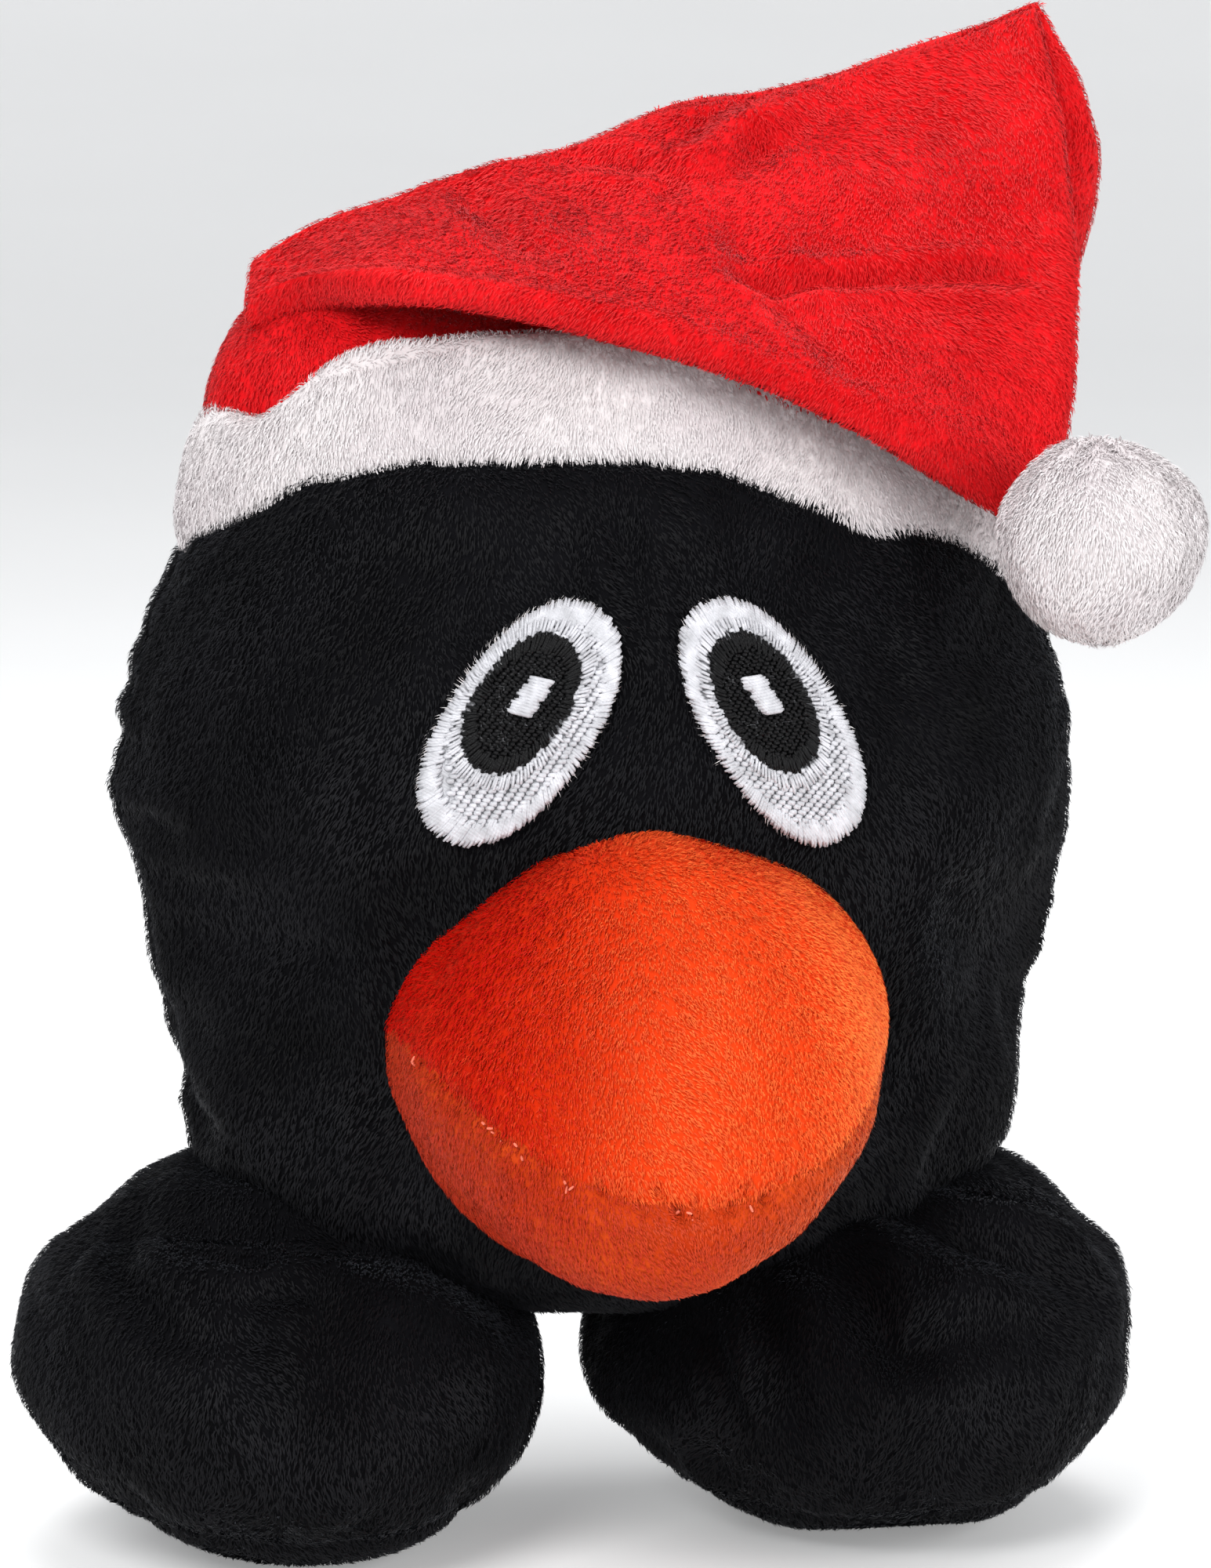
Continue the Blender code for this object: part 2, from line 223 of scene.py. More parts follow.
def new_object(name, points, faces, keep_winding=False):
    """Smooth closed piece; points that meet are made one."""
    mesh = mesh_from(name, points, faces)
    work = bmesh.new()
    work.from_mesh(mesh)
    bmesh.ops.remove_doubles(work, verts=work.verts, dist=WELD * MM)
    if not keep_winding:
        bmesh.ops.recalc_face_normals(work, faces=work.faces)
    work.to_mesh(mesh)
    work.free()
    mesh.shade_smooth()
    return put_in_scene(name, mesh)


def grid_faces(rows, columns, wrap):
    """Quads of a grid; wrap joins its last column to its first."""
    index = np.arange(rows * columns).reshape(rows, columns)
    if wrap:
        index = np.hstack([index, index[:, :1]])
    faces = np.stack([index[:-1, :-1], index[:-1, 1:], index[1:, 1:], index[1:, :-1]], axis=-1)
    return faces.reshape(-1, 4)


def grid_object(name, points, wrap=False):
    rows, columns = points.shape[:2]
    return new_object(name, points, grid_faces(rows, columns, wrap).tolist())


def read_all(items, name, kind=float):
    """Rows of the three values that each item holds under a name."""
    flat = np.zeros(len(items) * 3, kind)
    items.foreach_get(name, flat)
    return flat.reshape(-1, 3)


def points_of(piece):
    return read_all(piece.data.vertices, "co") / MM - HOME


def normals_of(piece):
    return read_all(piece.data.vertex_normals, "vector")


def set_points(piece, points):
    piece.data.vertices.foreach_set("co", ((points + HOME) * MM).ravel())
    piece.data.update()


def apply_modifiers(piece):
    graph = bpy.context.evaluated_depsgraph_get()
    done = bpy.data.meshes.new_from_object(piece.evaluated_get(graph))
    piece.modifiers.clear()
    piece.data = done
    piece.data.shade_smooth()


def subdivide(piece, levels=1):
    smooth = piece.modifiers.new("smooth", "SUBSURF")
    smooth.levels = levels
    smooth.render_levels = levels
    apply_modifiers(piece)


def move_out(piece, amount):
    """Move every point along its normal by amount(points, normals)."""
    points = points_of(piece)
    normals = normals_of(piece)
    set_points(piece, points + normals * amount(points, normals)[:, None])


def stuff(piece, held, grow, most, pressure=4.0):
    """Fill a sewn form: the cloth is a little larger than its shape and pressure buckles it.

    held(points) is 1 where a seam holds the cloth and 0 where it is free; most caps its travel.
    """
    before = points_of(piece)
    group = piece.vertex_groups.new(name="held")
    for index, weight in enumerate(held(before)):
        group.add([index], float(weight), "REPLACE")
    cloth = piece.modifiers.new("cloth", "CLOTH")
    cloth.settings.quality = 5
    cloth.settings.mass = 0.1
    cloth.settings.use_pressure = True
    cloth.settings.uniform_pressure_force = pressure
    cloth.settings.shrink_min = -grow
    cloth.settings.vertex_group_mass = "held"
    cloth.settings.effector_weights.gravity = 0.0
    cloth.collision_settings.use_collision = False
    for number in range(1, CLOTH_FRAMES + 1):
        bpy.context.scene.frame_set(number)
    apply_modifiers(piece)
    bpy.context.scene.frame_set(1)
    travel = points_of(piece) - before
    length = np.linalg.norm(travel, axis=1, keepdims=True)
    set_points(piece, before + travel * np.minimum(1.0, most / np.maximum(length, 1e-6)))


def crease(points, path, width):
    """A crease's strength at points, fading at its ends, and how many widths they lie from its path."""
    line = curve_through(path, 8)
    low = line.min(0) - 3 * width
    high = line.max(0) + 3 * width
    close = np.all((points > low) & (points < high), axis=1)
    amount = np.zeros(len(points))
    distance = np.full(len(points), 1e3)
    if close.any():
        gap = np.linalg.norm(points[close][:, None] - line[None], axis=2)
        nearest = gap.argmin(1)
        fade = np.sin(pi * np.clip(nearest / (len(line) - 1), 0.04, 0.96)) ** 0.5
        distance[close] = gap.min(1)
        amount[close] = fade
    return amount, distance / width


def press(points, path, depth, width, lip=0.35):
    """Sunk crease with the cloth swelling beside it."""
    amount, away = crease(points, path, width)
    return depth * amount * (lip * bell((away - 1.9) / 0.8) - bell(away))


# ---------------------------------------------------------------- materials
def set_inputs(node, values):
    for name, value in values.items():
        node.inputs[name].default_value = value


def shader_material(name, colour, roughness, sheen, sheen_tint=(1, 1, 1), specular=0.15):
    material = bpy.data.materials.new(name)
    material.use_nodes = True
    shader = material.node_tree.nodes["Principled BSDF"]
    set_inputs(shader, {"Base Color": (*colour, 1), "Roughness": roughness, "Sheen Weight": sheen,
                        "Sheen Roughness": 0.35, "Sheen Tint": (*sheen_tint, 1),
                        "Specular IOR Level": specular})
    return material, shader


def add_node(material, kind, **inputs):
    node = material.node_tree.nodes.new(kind)
    set_inputs(node, inputs)
    return node


def colour_from(material, shader, noise, tones, stops):
    """Run the base colour between two tones as a noise goes from one stop to the other."""
    ramp = add_node(material, "ShaderNodeValToRGB")
    for element, tone, stop in zip(ramp.color_ramp.elements, tones, stops):
        element.position = stop
        element.color = (*tone, 1)
    material.node_tree.links.new(noise.outputs["Fac"], ramp.inputs["Fac"])
    material.node_tree.links.new(ramp.outputs["Color"], shader.inputs["Base Color"])


def bump_from(material, shader, relief, strength, distance):
    bump = add_node(material, "ShaderNodeBump", Strength=strength, Distance=distance)
    material.node_tree.links.new(relief.outputs["Fac"], bump.inputs["Height"])
    material.node_tree.links.new(bump.outputs["Normal"], shader.inputs["Normal"])


def fix_to_piece(material, *textures):
    """Lay textures in the piece's own coordinates, so that they move with it."""
    place = add_node(material, "ShaderNodeTexCoord")
    for texture in textures:
        material.node_tree.links.new(place.outputs["Object"], texture.inputs["Vector"])


KNIT = {"Scale": 2600.0, "Detail": 3.0}
KNIT_BUMP = (0.6, 0.0002)           # strength, and height in metres


def backing_material(name, dark, light, sheen=0.2, sheen_tint=(1, 1, 1)):
    """Knitted backing under the pile: two tones in patches, with a fine grain as bump."""
    material, shader = shader_material(name, dark, 0.95, sheen, sheen_tint, 0.05)
    patches = add_node(material, "ShaderNodeTexNoise", Scale=90.0, Detail=6.0)
    knit = add_node(material, "ShaderNodeTexNoise", **KNIT)
    fix_to_piece(material, patches, knit)
    colour_from(material, shader, patches, (dark, light), (0.35, 0.65))
    bump_from(material, shader, knit, *KNIT_BUMP)
    return material


def beak_backing_material():
    """Knitted backing of the upper beak, coloured as its pile: deep orange on the left and lighter on the
    right, partly the pile's own brushing and partly painted light from the right, with a painted sheen at the
    right edge.
    """
    material, shader = shader_material("orange_backing", (0.6, 0.04, 0.005), 0.95, 0.1, (1, 0.6, 0.4), 0.05)
    links = material.node_tree.links
    place = add_node(material, "ShaderNodeTexCoord")
    parts = add_node(material, "ShaderNodeSeparateXYZ")
    slope = add_node(material, "ShaderNodeMath")
    slope.operation = "MULTIPLY_ADD"
    slope.inputs[1].default_value = -BEAK_TONE_LEAN
    across = add_node(material, "ShaderNodeMapRange")
    shift = HOME[0] - BEAK_TONE_LEAN * BEAK_MOUTH_Z
    set_inputs(across, {"From Min": (shift - BEAK_TONE_REACH) * MM,
                        "From Max": (shift + BEAK_TONE_REACH) * MM})
    ramp = add_node(material, "ShaderNodeValToRGB")
    # Deep orange on the left to light orange on the right: partly the pile's brushing, partly painted light
    # from the right and a painted sheen near the right edge.
    ramp.color_ramp.interpolation = "EASE"
    ramp.color_ramp.elements[0].color = (0.45, 0.009, 0.0006, 1)
    ramp.color_ramp.elements[1].color = (0.86, 0.115, 0.022, 1)
    for position in (0.54, 0.70):
        stop = ramp.color_ramp.elements.new(position)
        stop.color = (0.67, 0.046, 0.006, 1)
    knit = add_node(material, "ShaderNodeTexNoise", **KNIT)
    links.new(place.outputs["Object"], parts.inputs["Vector"])
    links.new(place.outputs["Object"], knit.inputs["Vector"])
    links.new(parts.outputs["Z"], slope.inputs[0])
    links.new(parts.outputs["X"], slope.inputs[2])
    links.new(slope.outputs["Value"], across.inputs["Value"])
    links.new(across.outputs["Result"], ramp.inputs["Fac"])
    links.new(ramp.outputs["Color"], shader.inputs["Base Color"])
    bump_from(material, shader, knit, *KNIT_BUMP)
    return material


def fibre_shades(name, dark, light, sheen, sheen_tint=(1, 1, 1), count=8, specular=0.15, curve=1.0):
    """The shades that one plush's fibres take, from dark to light."""
    shades = []
    for k in range(count):
        share = (k / (count - 1)) ** curve
        colour = [a * (1 - share) + b * share for a, b in zip(dark, light)]
        name_k = name + "_fibre_" + str(k)
        shades.append(shader_material(name_k, colour, 0.55, sheen, sheen_tint, specular)[0])
    return shades


def thread_material(name, colour, sheen, specular=0.4):
    """Shiny embroidery thread, its plies as a fine twist."""
    material, shader = shader_material(name, colour, 0.4, sheen, specular=specular)
    twist = add_node(material, "ShaderNodeTexWave", Scale=1500.0, Distortion=3.0)
    twist.bands_direction = "DIAGONAL"
    patches = add_node(material, "ShaderNodeTexNoise", Scale=700.0)
    fix_to_piece(material, twist, patches)
    dark = [c * 0.72 for c in colour]
    light = [min(c * 1.12, 1.0) for c in colour]
    colour_from(material, shader, patches, (dark, light), (0.3, 0.7))
    bump_from(material, shader, twist, 0.35, 0.0001)
    return material


ORANGE_CURVE = 1.6                  # keeps the dark shades of the beak close to each other
BLACK = {"backing": backing_material("black_backing", (0.002, 0.002, 0.0025), (0.004, 0.004, 0.005), 0.0),
         "shades": fibre_shades("black", (0.003, 0.003, 0.0035), (0.011, 0.011, 0.013), 0.06,
                                (0.8, 0.85, 1.0), specular=0.06)}
# The upper beak's fibres; their lighter shades carry the painted light and painted sheen on its right side.
ORANGE = {"backing": beak_backing_material(),
          "shades": fibre_shades("orange", (0.48, 0.003, 0.0002), (0.95, 0.20, 0.04), 0.03,
                                 (1, 0.5, 0.3), specular=0.08, curve=ORANGE_CURVE)}
# The lower beak's plush, darker and browner than the upper: painted shade of the underside, which faces down.
ORANGE_LOW_SHADED = {"backing": backing_material("orange_low_backing", (0.44, 0.029, 0.004), (0.54, 0.056, 0.008),
                                          0.1, (1, 0.6, 0.4)),
              "shades": fibre_shades("orange_low", (0.43, 0.022, 0.003), (0.60, 0.082, 0.012), 0.06,
                                     (1, 0.7, 0.5))}
RED = {"backing": backing_material("red_backing", (0.52, 0.004, 0.006), (0.72, 0.010, 0.014),
                                   0.2, (1, 0.5, 0.5)),
       "shades": fibre_shades("red", (0.43, 0.002, 0.004), (0.71, 0.009, 0.012), 0.13,
                              (1, 0.55, 0.6))}
WHITE = {"backing": backing_material("white_backing", (0.56, 0.51, 0.52), (0.68, 0.64, 0.64)),
         "shades": fibre_shades("white", (0.57, 0.515, 0.53), (0.70, 0.67, 0.67), 0.12)}
WHITE_THREAD = thread_material("white_thread", (0.53, 0.53, 0.56), 0.1)
BLACK_THREAD = thread_material("black_thread", (0.005, 0.005, 0.0055), 0.0, 0.12)
ORANGE_THREAD = thread_material("orange_thread", (0.80, 0.17, 0.10), 0.1, 0.2)


# ---------------------------------------------------------------- plush
def skin_triangles(piece):
    """Corners, corner normals and areas of a mesh's triangles."""
    piece.data.calc_loop_triangles()
    index = read_all(piece.data.loop_triangles, "vertices", np.int32)
    corners = points_of(piece)[index]
    normals = normals_of(piece)[index]
    edges = corners[:, 1:] - corners[:, :1]
    area = np.linalg.norm(np.cross(edges[:, 0], edges[:, 1]), axis=1) / 2
    return corners, normals, area


# Each pile: fibres to a square millimetre, their length and width, and how far they lean in degrees
BLACK_PILE = (9.0, 1.05, 0.16, 69)
BEAK_PILE = (16.0, 0.8, 0.13, 71)
BAND_PILE = (15.0, 1.0, 0.13, 75)
CROWN_PILE = (12.0, 1.0, 0.14, 74)
FLAP_PILE = (13.0, 1.0, 0.14, 75)
POMPOM_PILE = (17.0, 1.0, 0.14, 74)
FRAY_PILE = (4.0, 1.0, 0.07, 60)


def fibres(name, skin, plush, pile, flow, tone, seed, keep=None, reach=None):
    """Cover a skin with separate fibres, each a narrow bent leaf lying along flow.

    keep picks where they grow, and reach(points) gives their length where it varies.
    """
    density, length, width, lean = pile
    rng = np.random.default_rng(seed)
    corners, corner_normals, area = skin_triangles(skin)
    count = int(area.sum() * density)
    chosen = rng.choice(len(area), count, p=area / area.sum())
    a = np.sqrt(rng.uniform(size=count))
    b = rng.uniform(size=count)
    share = np.stack([1 - a, a * (1 - b), a * b], axis=1)[:, :, None]
    root = (corners[chosen] * share).sum(1)
    normal = unit((corner_normals[chosen] * share).sum(1))
    if keep is not None:
        kept = keep(root, normal)
        root = root[kept]
        normal = normal[kept]
        count = len(root)
    way = flow(root, normal) + rng.normal(size=(count, 3)) * 0.17
    way = unit(way - (way * normal).sum(1)[:, None] * normal)
    tilt = np.radians(lean + rng.normal(size=count) * 6)[:, None]
    size = (reach(root) if reach else length) * rng.uniform(0.72, 1.18, count)
    size = size[:, None]
    low_way = normal * np.cos(tilt * 0.7) + way * np.sin(tilt * 0.7)
    high_way = normal * np.cos(tilt * 1.15) + way * np.sin(tilt * 1.15)
    bend = root + low_way * size * 0.45
    tip = bend + high_way * size * 0.55
    side = unit(np.cross(low_way, normal))
    roll = rng.uniform(-0.55, 0.55, count)[:, None]
    side = side * np.cos(roll) + np.cross(low_way, side) * np.sin(roll)
    half = side * width / 2
    base = root - normal * 0.25
    points = np.stack([base, bend + half, bend - half, tip], axis=1)
    first = np.arange(count)[:, None] * 4
    faces = np.concatenate([first + [0, 1, 2], first + [2, 1, 3]], axis=1).reshape(-1, 3)

    mesh = bpy.data.meshes.new(name)
    mesh.vertices.add(count * 4)
    mesh.vertices.foreach_set("co", ((points.reshape(-1, 3) + HOME) * MM).ravel())
    mesh.loops.add(count * 6)
    mesh.loops.foreach_set("vertex_index", faces.ravel().astype(np.int32))
    mesh.polygons.add(count * 2)
    mesh.polygons.foreach_set("loop_start", np.arange(count * 2, dtype=np.int32) * 3)
    shades = plush["shades"]
    level = tone(root) + rng.uniform(-0.1, 0.1, count)
    slot = np.clip(level * len(shades), 0, len(shades) - 1).astype(np.int32)
    mesh.polygons.foreach_set("material_index", np.repeat(slot, 2))
    mesh.update(calc_edges=True)
    for material in shades:
        mesh.materials.append(material)
    mesh.shade_smooth()
    facing = unit(np.cross(bend - half - base, bend + half - base) * -1)
    soft = unit(normal * SOFTNESS + facing * (1 - SOFTNESS))
    mesh.normals_split_custom_set_from_vertices(np.repeat(soft, 4, axis=0).tolist())
    return put_in_scene(name, mesh)


def dress(pieces, rig):
    """Let pieces ride on one body; pieces given two bodies are not bent between them, only have their placing
    baked into their points.
    """
    for piece in pieces:
        if isinstance(rig, str):
            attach(piece, rig)
        else:
            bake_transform(piece)


# ---------------------------------------------------------------- body
def body_points(angle, share):
    """Points of the body: angle round it, share from 0 underneath to 1 on top."""
    place = share * (len(PROFILE) - 1)
    radius = np.interp(place, np.arange(len(PROFILE)), PROFILE[:, 0])
    z = np.interp(place, np.arange(len(PROFILE)), PROFILE[:, 1])
    middle_z = (PROFILE[0, 1] + PROFILE[-1, 1]) / 2
    z = z - PILE_STANDS * np.clip((z - middle_z) / (PROFILE[-1, 1] - middle_z), -1, 1) ** 3
    radius = np.maximum(radius - PILE_STANDS, 0)
    x = BODY_X + radius * np.cos(angle)
    y = BODY_DEPTH * radius * np.sin(angle)
    return np.stack([x, y, z], axis=-1)


def body_relief(points, normals):
    """Seams, gathers and lumps of the stuffed body."""
    x = points[:, 0]
    z = points[:, 2]
    angle = turn_round(points)
    radius = np.maximum(half_width(z), 4.0)
    total = 0.45 * waves(points, 13.0, 3) + 0.2 * waves(points, 6.0, 4)
    for seam, seed in ((0.0, 1), (pi, 2)):
        turn = (angle - seam + pi) % (2 * pi) - pi
        away = np.abs(turn) * radius
        gather = np.sin(2 * pi * z / 6.3 + 2.4 * np.sin(z / 8.3 + seed) + 2.0 * seed)
        level = step(38, 50, z) * step(122, 108, z) * (0.6 + 0.4 * np.sin(z / 5.2 + 2 * seed))
        total += level * (0.55 * gather * bell(away / 7.0) - 0.7 * bell(away / 1.5))
    back = (angle - pi / 2 + pi) % (2 * pi) - pi
    away = np.abs(back) * radius
    gather = np.sin(2 * pi * z / 4.4 + np.sin(z / 5.0))
    total += 0.35 * gather * bell(away / 5.0) - 0.8 * bell(away / 1.4)
    total += press(points, [(-1.9, -29.7, 109), (-2.4, -31.5, 105.3), (-2.1, -33, 101.7),
                            (-2.0, -34.4, 98.1)], 0.9, 1.6)
    total += press(points, [(-8.5, -30.5, 108), (-7.4, -32.5, 103)], 0.4, 1.4)
    total += 1.3 * bell((z - 78.5) / 1.5) * bell((x + 48) / 5.0)
    total += 1.0 * bell((z - 65.0) / 1.8) * bell((x - 45) / 5.0)
    total += 0.8 * step(66, 50, z) * step(34, 44, z) * step(30, 42, np.abs(x - BODY_X))
    return total


def body_flow(points, normals):
    swirl = waves(points, 16.0, 11)[:, None] * [0.8, 0.2, 0.0]
    return swirl + [0.0, 0.0, -1.0] + waves(points, 7.0, 12)[:, None] * [0.4, 0.0, 0.2]


def inside_eye(points, grow):
    """True for points of the face under the embroidery."""
    found = np.zeros(len(points), bool)
    for side in EYES:
        found |= eye_reach(points, side, "white", grow) < 1
    return found & (points[:, 1] < 0)


def make_body():
    skin = grid_object("body_skin", body_points(*sweep(100, 0, 1, 60)), wrap=True)

    def held(points):
        turn = np.abs(turn_round(points))
        radius = half_width(points[:, 2])
        side = np.minimum(turn, pi - turn) * radius
        behind = np.abs(points[:, 0] - BODY_X) + 50 * (points[:, 1] < 0)
        ends = (points[:, 2] < 32) | (points[:, 2] > 112)
        face = (points[:, 1] < -20) & (np.abs(points[:, 0]) < 26) & (points[:, 2] < 104)
        return np.maximum.reduce([bell(side / 2.5), bell(behind / 2.5), 1.0 * ends, 0.6 * face])

    stuff(skin, held, 0.06, 1.6)
    subdivide(skin, 2)
    move_out(skin, body_relief)
    skin.data.materials.append(BLACK["backing"])
    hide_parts(*BODY_NODES, "body_stuffing")

    def keep(points, normals):
        return (points[:, 2] < 119) & ~inside_eye(points, -0.3) & ~in_foot(points, 2.5)

    def keep_front(points, normals):
        return keep(points, normals) & (points[:, 1] < 0)

    def keep_back(points, normals):
        return keep(points, normals) & (points[:, 1] >= 0)

    tone = mottled(0.42, 0.28, 9.0, 21)
    front = fibres("body_plush_front", skin, BLACK, BLACK_PILE, body_flow, tone, 101, keep_front)
    back = fibres("body_plush_back", skin, BLACK, BLACK_PILE, body_flow, tone, 102, keep_back)
    dress((skin, front, back), "body")


# ---------------------------------------------------------------- feet
FEET = {}
for side in ("left", "right"):
    cover = "foot_cover_" + side
    low, high = extent(cover, "foot_sole_" + side)
    FEET[side] = {"centre": np.array([*((low + high) / 2 - HOME)[:2], 20.5]),
                  "half": np.array([*((high - low) / 2)[:2], 21.0])}
FOOT_DEPTH = 21.6
SOLE_SEAM = 5.0
TOE_LIFT = {"left": 1.5, "right": 5.5}
FOOT_LEAN = {"left": 3.2, "right": 2.0}    # how far each sole lies to the right of its foot

FOOT_CREASES = {
    "left": [
        ([(-48, -6.8, 37.3), (-50, -11.6, 35.2), (-50, -17.2, 32.5), (-47.6, -23.6, 29.1),
          (-44.8, -26.4, 27.7), (-38.9, -28.5, 28.3)], 1.5, 1.5),
        ([(-51.4, -7.8, 35.2), (-42.8, -16.2, 37.1), (-31.7, -20.8, 36.5), (-22.4, -21.2, 33.8),
          (-12.4, -17.5, 27.8)], 1.8, 2.6),
        ([(-44.4, -20.3, 34.4), (-40, -23, 34.2), (-35.4, -23.6, 34.9)], 1.2, 1.1),
        ([(-43, -24.4, 31.4), (-38, -26.3, 31.6), (-32, -26.5, 32.5)], 0.8, 1.2),
    ],
    "right": [
        ([(15, -23, 34.2), (19.5, -25.1, 32.3), (22.1, -27.9, 29.6), (24, -30.3, 26.1),
          (26.2, -31, 24.6), (32.8, -30, 25.7), (40.8, -26.8, 25.4)], 2.0, 1.9),
        ([(28, -22.0, 34.5), (35, -24.0, 32.6), (41.5, -23.4, 30.6), (47, -20.5, 27)], 1.6, 1.9),
        ([(30.4, -19.4, 37.1), (35.1, -20.3, 35.9), (40.1, -19.6, 34.3), (46.2, -18.5, 30.6),
          (50.6, -17.4, 25.3)], -1.4, 2.0),
        ([(7.5, -21.5, 27.4), (8.6, -24.2, 23.3), (9.6, -25.5, 18)], 1.2, 1.4),
        ([(12.5, -24, 30), (13.5, -27, 25), (14.5, -29, 18)], 1.3, 1.5),
        ([(54, -10, 26), (55.3, -9, 22), (55, -11, 18)], 1.0, 1.6),
    ],
}


def in_foot(points, inset):
    """True for points deeper than inset inside a foot."""
    found = np.zeros(len(points), bool)
    for foot in FEET.values():
        found |= np.linalg.norm((points - foot["centre"]) / (foot["half"] - inset), axis=1) < 1
    return found


def foot_points(side, angle, climb):
    foot = FEET[side]
    half = foot["half"] - [1.5, 1.0, PILE_STANDS]
    flat = np.cos(climb)
    up = np.sin(climb)
    x = foot["centre"][0] + half[0] * flat * np.cos(angle)
    y = foot["centre"][1] + half[1] * flat * np.sin(angle)
    x = x + FOOT_LEAN[side] * np.maximum(0.0, -up) ** 1.5
    z = foot["centre"][2] + np.where(up > 0, half[2], FOOT_DEPTH) * up
    toe = TOE_LIFT[side] * np.maximum(0.0, foot["centre"][1] - 2 - y) ** 1.5 / 100
    return np.stack([x, y, np.maximum(z, 0.55 + toe)], axis=-1)


def make_foot(side):
    points = foot_points(side, *sweep(64, -pi / 2, pi / 2, 36))
    skin = grid_object("foot_skin_" + side, points, wrap=True)

    def held(points):
        sole = bell((points[:, 2] - SOLE_SEAM) / 1.8) + (points[:, 2] < SOLE_SEAM)
        neck = step(30, 38, points[:, 2] + 0.35 * points[:, 1])
        return np.clip(sole + neck, 0, 1)

    stuff(skin, held, 0.06, 1.2)
    subdivide(skin, 2)
    seed = 31 if side == "left" else 37

    def relief(points, normals):
        total = 0.9 * waves(points, 11.0, seed) + 0.3 * waves(points, 5.0, seed + 1)
        total *= step(2, 9, points[:, 2])
        total -= 0.6 * bell((points[:, 2] - SOLE_SEAM) / 0.9)
        for path, depth, width in FOOT_CREASES[side]:
            total += press(points, path, 1.05 * depth, 1.25 * width, 0.4)
        return total

    move_out(skin, relief)
    points = points_of(skin)
    points[:, 2] = np.maximum(points[:, 2], 0.5)
    set_points(skin, points)
    skin.data.materials.append(BLACK["backing"])
    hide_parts("foot_cover_" + side, "foot_sole_" + side, "foot_stuffing_" + side)
    centre = FEET[side]["centre"]

    def flow(points, normals):
        out = unit((points - centre) * [1, 1, 0.3])
        return out * 0.6 + [0, 0, -0.9] + waves(points, 9.0, seed + 2)[:, None] * [0.8, 0.3, 0.2]

    def keep(points, normals):
        hidden = (half_width(points[:, 2]) - 4) > np.hypot(points[:, 0] - BODY_X, points[:, 1] / BODY_DEPTH)
        return ~(hidden & (points[:, 2] > 28))

    tone = mottled(0.42, 0.28, 9.0, seed + 3)
    coat = fibres("foot_plush_" + side, skin, BLACK, BLACK_PILE, flow, tone, 200 + seed, keep)
    top = np.array([centre[0], centre[1], 45.0])
    low = np.array([centre[0], centre[1], 30.0])
    dress((skin, coat), ("body", "foot_" + side, top, low))


STRAND_SIDES = 6


def strand_faces(count, steps, capped=False):
    """Faces of count strands, each of a few rings of points."""
    faces = grid_faces(steps, STRAND_SIDES, True)
    if capped:
        cap = np.array([[0, 5, 4, 3], [0, 3, 2, 1]])
        faces = np.concatenate([faces, cap, (steps - 1) * STRAND_SIDES + cap[:, ::-1]])
    first = np.arange(count)[:, None, None] * (steps * STRAND_SIDES)
    return (faces[None] + first).reshape(-1, 4).tolist()


def threads(name, start, end, width, material):
    """Short straight strands from start to end, thinner at their ends."""
    along = np.linspace(0, 1, 5)
    section = turns(STRAND_SIDES)
    run = unit(end - start)
    out = unit(np.cross(run, [0.0, 0.0, 1.0]))
    side = np.cross(run, out)
    rings = []
    for t in along:
        thick = width / 2 * np.sin(pi * (0.15 + 0.7 * t)) ** 0.7
        centre = start * (1 - t) + end * t
        ring = [centre + out * np.cos(a) * thick + side * np.sin(a) * thick for a in section]
        rings.append(np.stack(ring, axis=1))
    piece = new_object(name, np.stack(rings, axis=1), strand_faces(len(start), len(along)))
    piece.data.materials.append(material)
    return piece


# ---------------------------------------------------------------- beak
BEAK_X = middle("beak_upper_panel")[0]


def beak_points(angle, forward):
    """Dome of the beak: angle round the mouth, forward from 0 at the face to 1 at the tip."""
    shrink = np.cos(forward * pi / 2)
    reach = np.sin(np.maximum(forward, 0) * pi / 2)
    rise = np.where(np.sin(angle) > 0, BEAK_RISE + 0.6, BEAK_DROP)
    level = BEAK_MOUTH_Z + (BEAK_TIP[1] - BEAK_MOUTH_Z) * reach ** 2
    leftward = 0.5 - 0.5 * np.cos(angle)
    power = 2.02 - leftward * (0.28 + 0.25 * step(-0.3, 0.3, np.sin(angle)))
    across = signed_power(np.cos(angle), 2 / power)
    upward = signed_power(np.sin(angle), 2 / power)
    sagging = np.maximum(0.0, -upward) ** 1.4
    x = BEAK_X + ((BEAK_HALF_WIDTH - 0.5) * across - BEAK_SAG * sagging + 0.3) * shrink
    z = level + rise * shrink * upward
    rim = face_y(x, z) + 1.0 - 3.0 * np.minimum(forward, 0) * 10
    y = rim * (1 - reach) + (BEAK_TIP[0] + 0.6) * reach
    return np.stack([x, y, z], axis=-1)


def seam_level(points):
    """Height of the mouth seam beside each point."""
    reach = np.clip((-points[:, 1] - 30) / (-BEAK_TIP[0] - 30), 0, 1)
    return BEAK_MOUTH_Z + (BEAK_TIP[1] - BEAK_MOUTH_Z) * reach ** 2


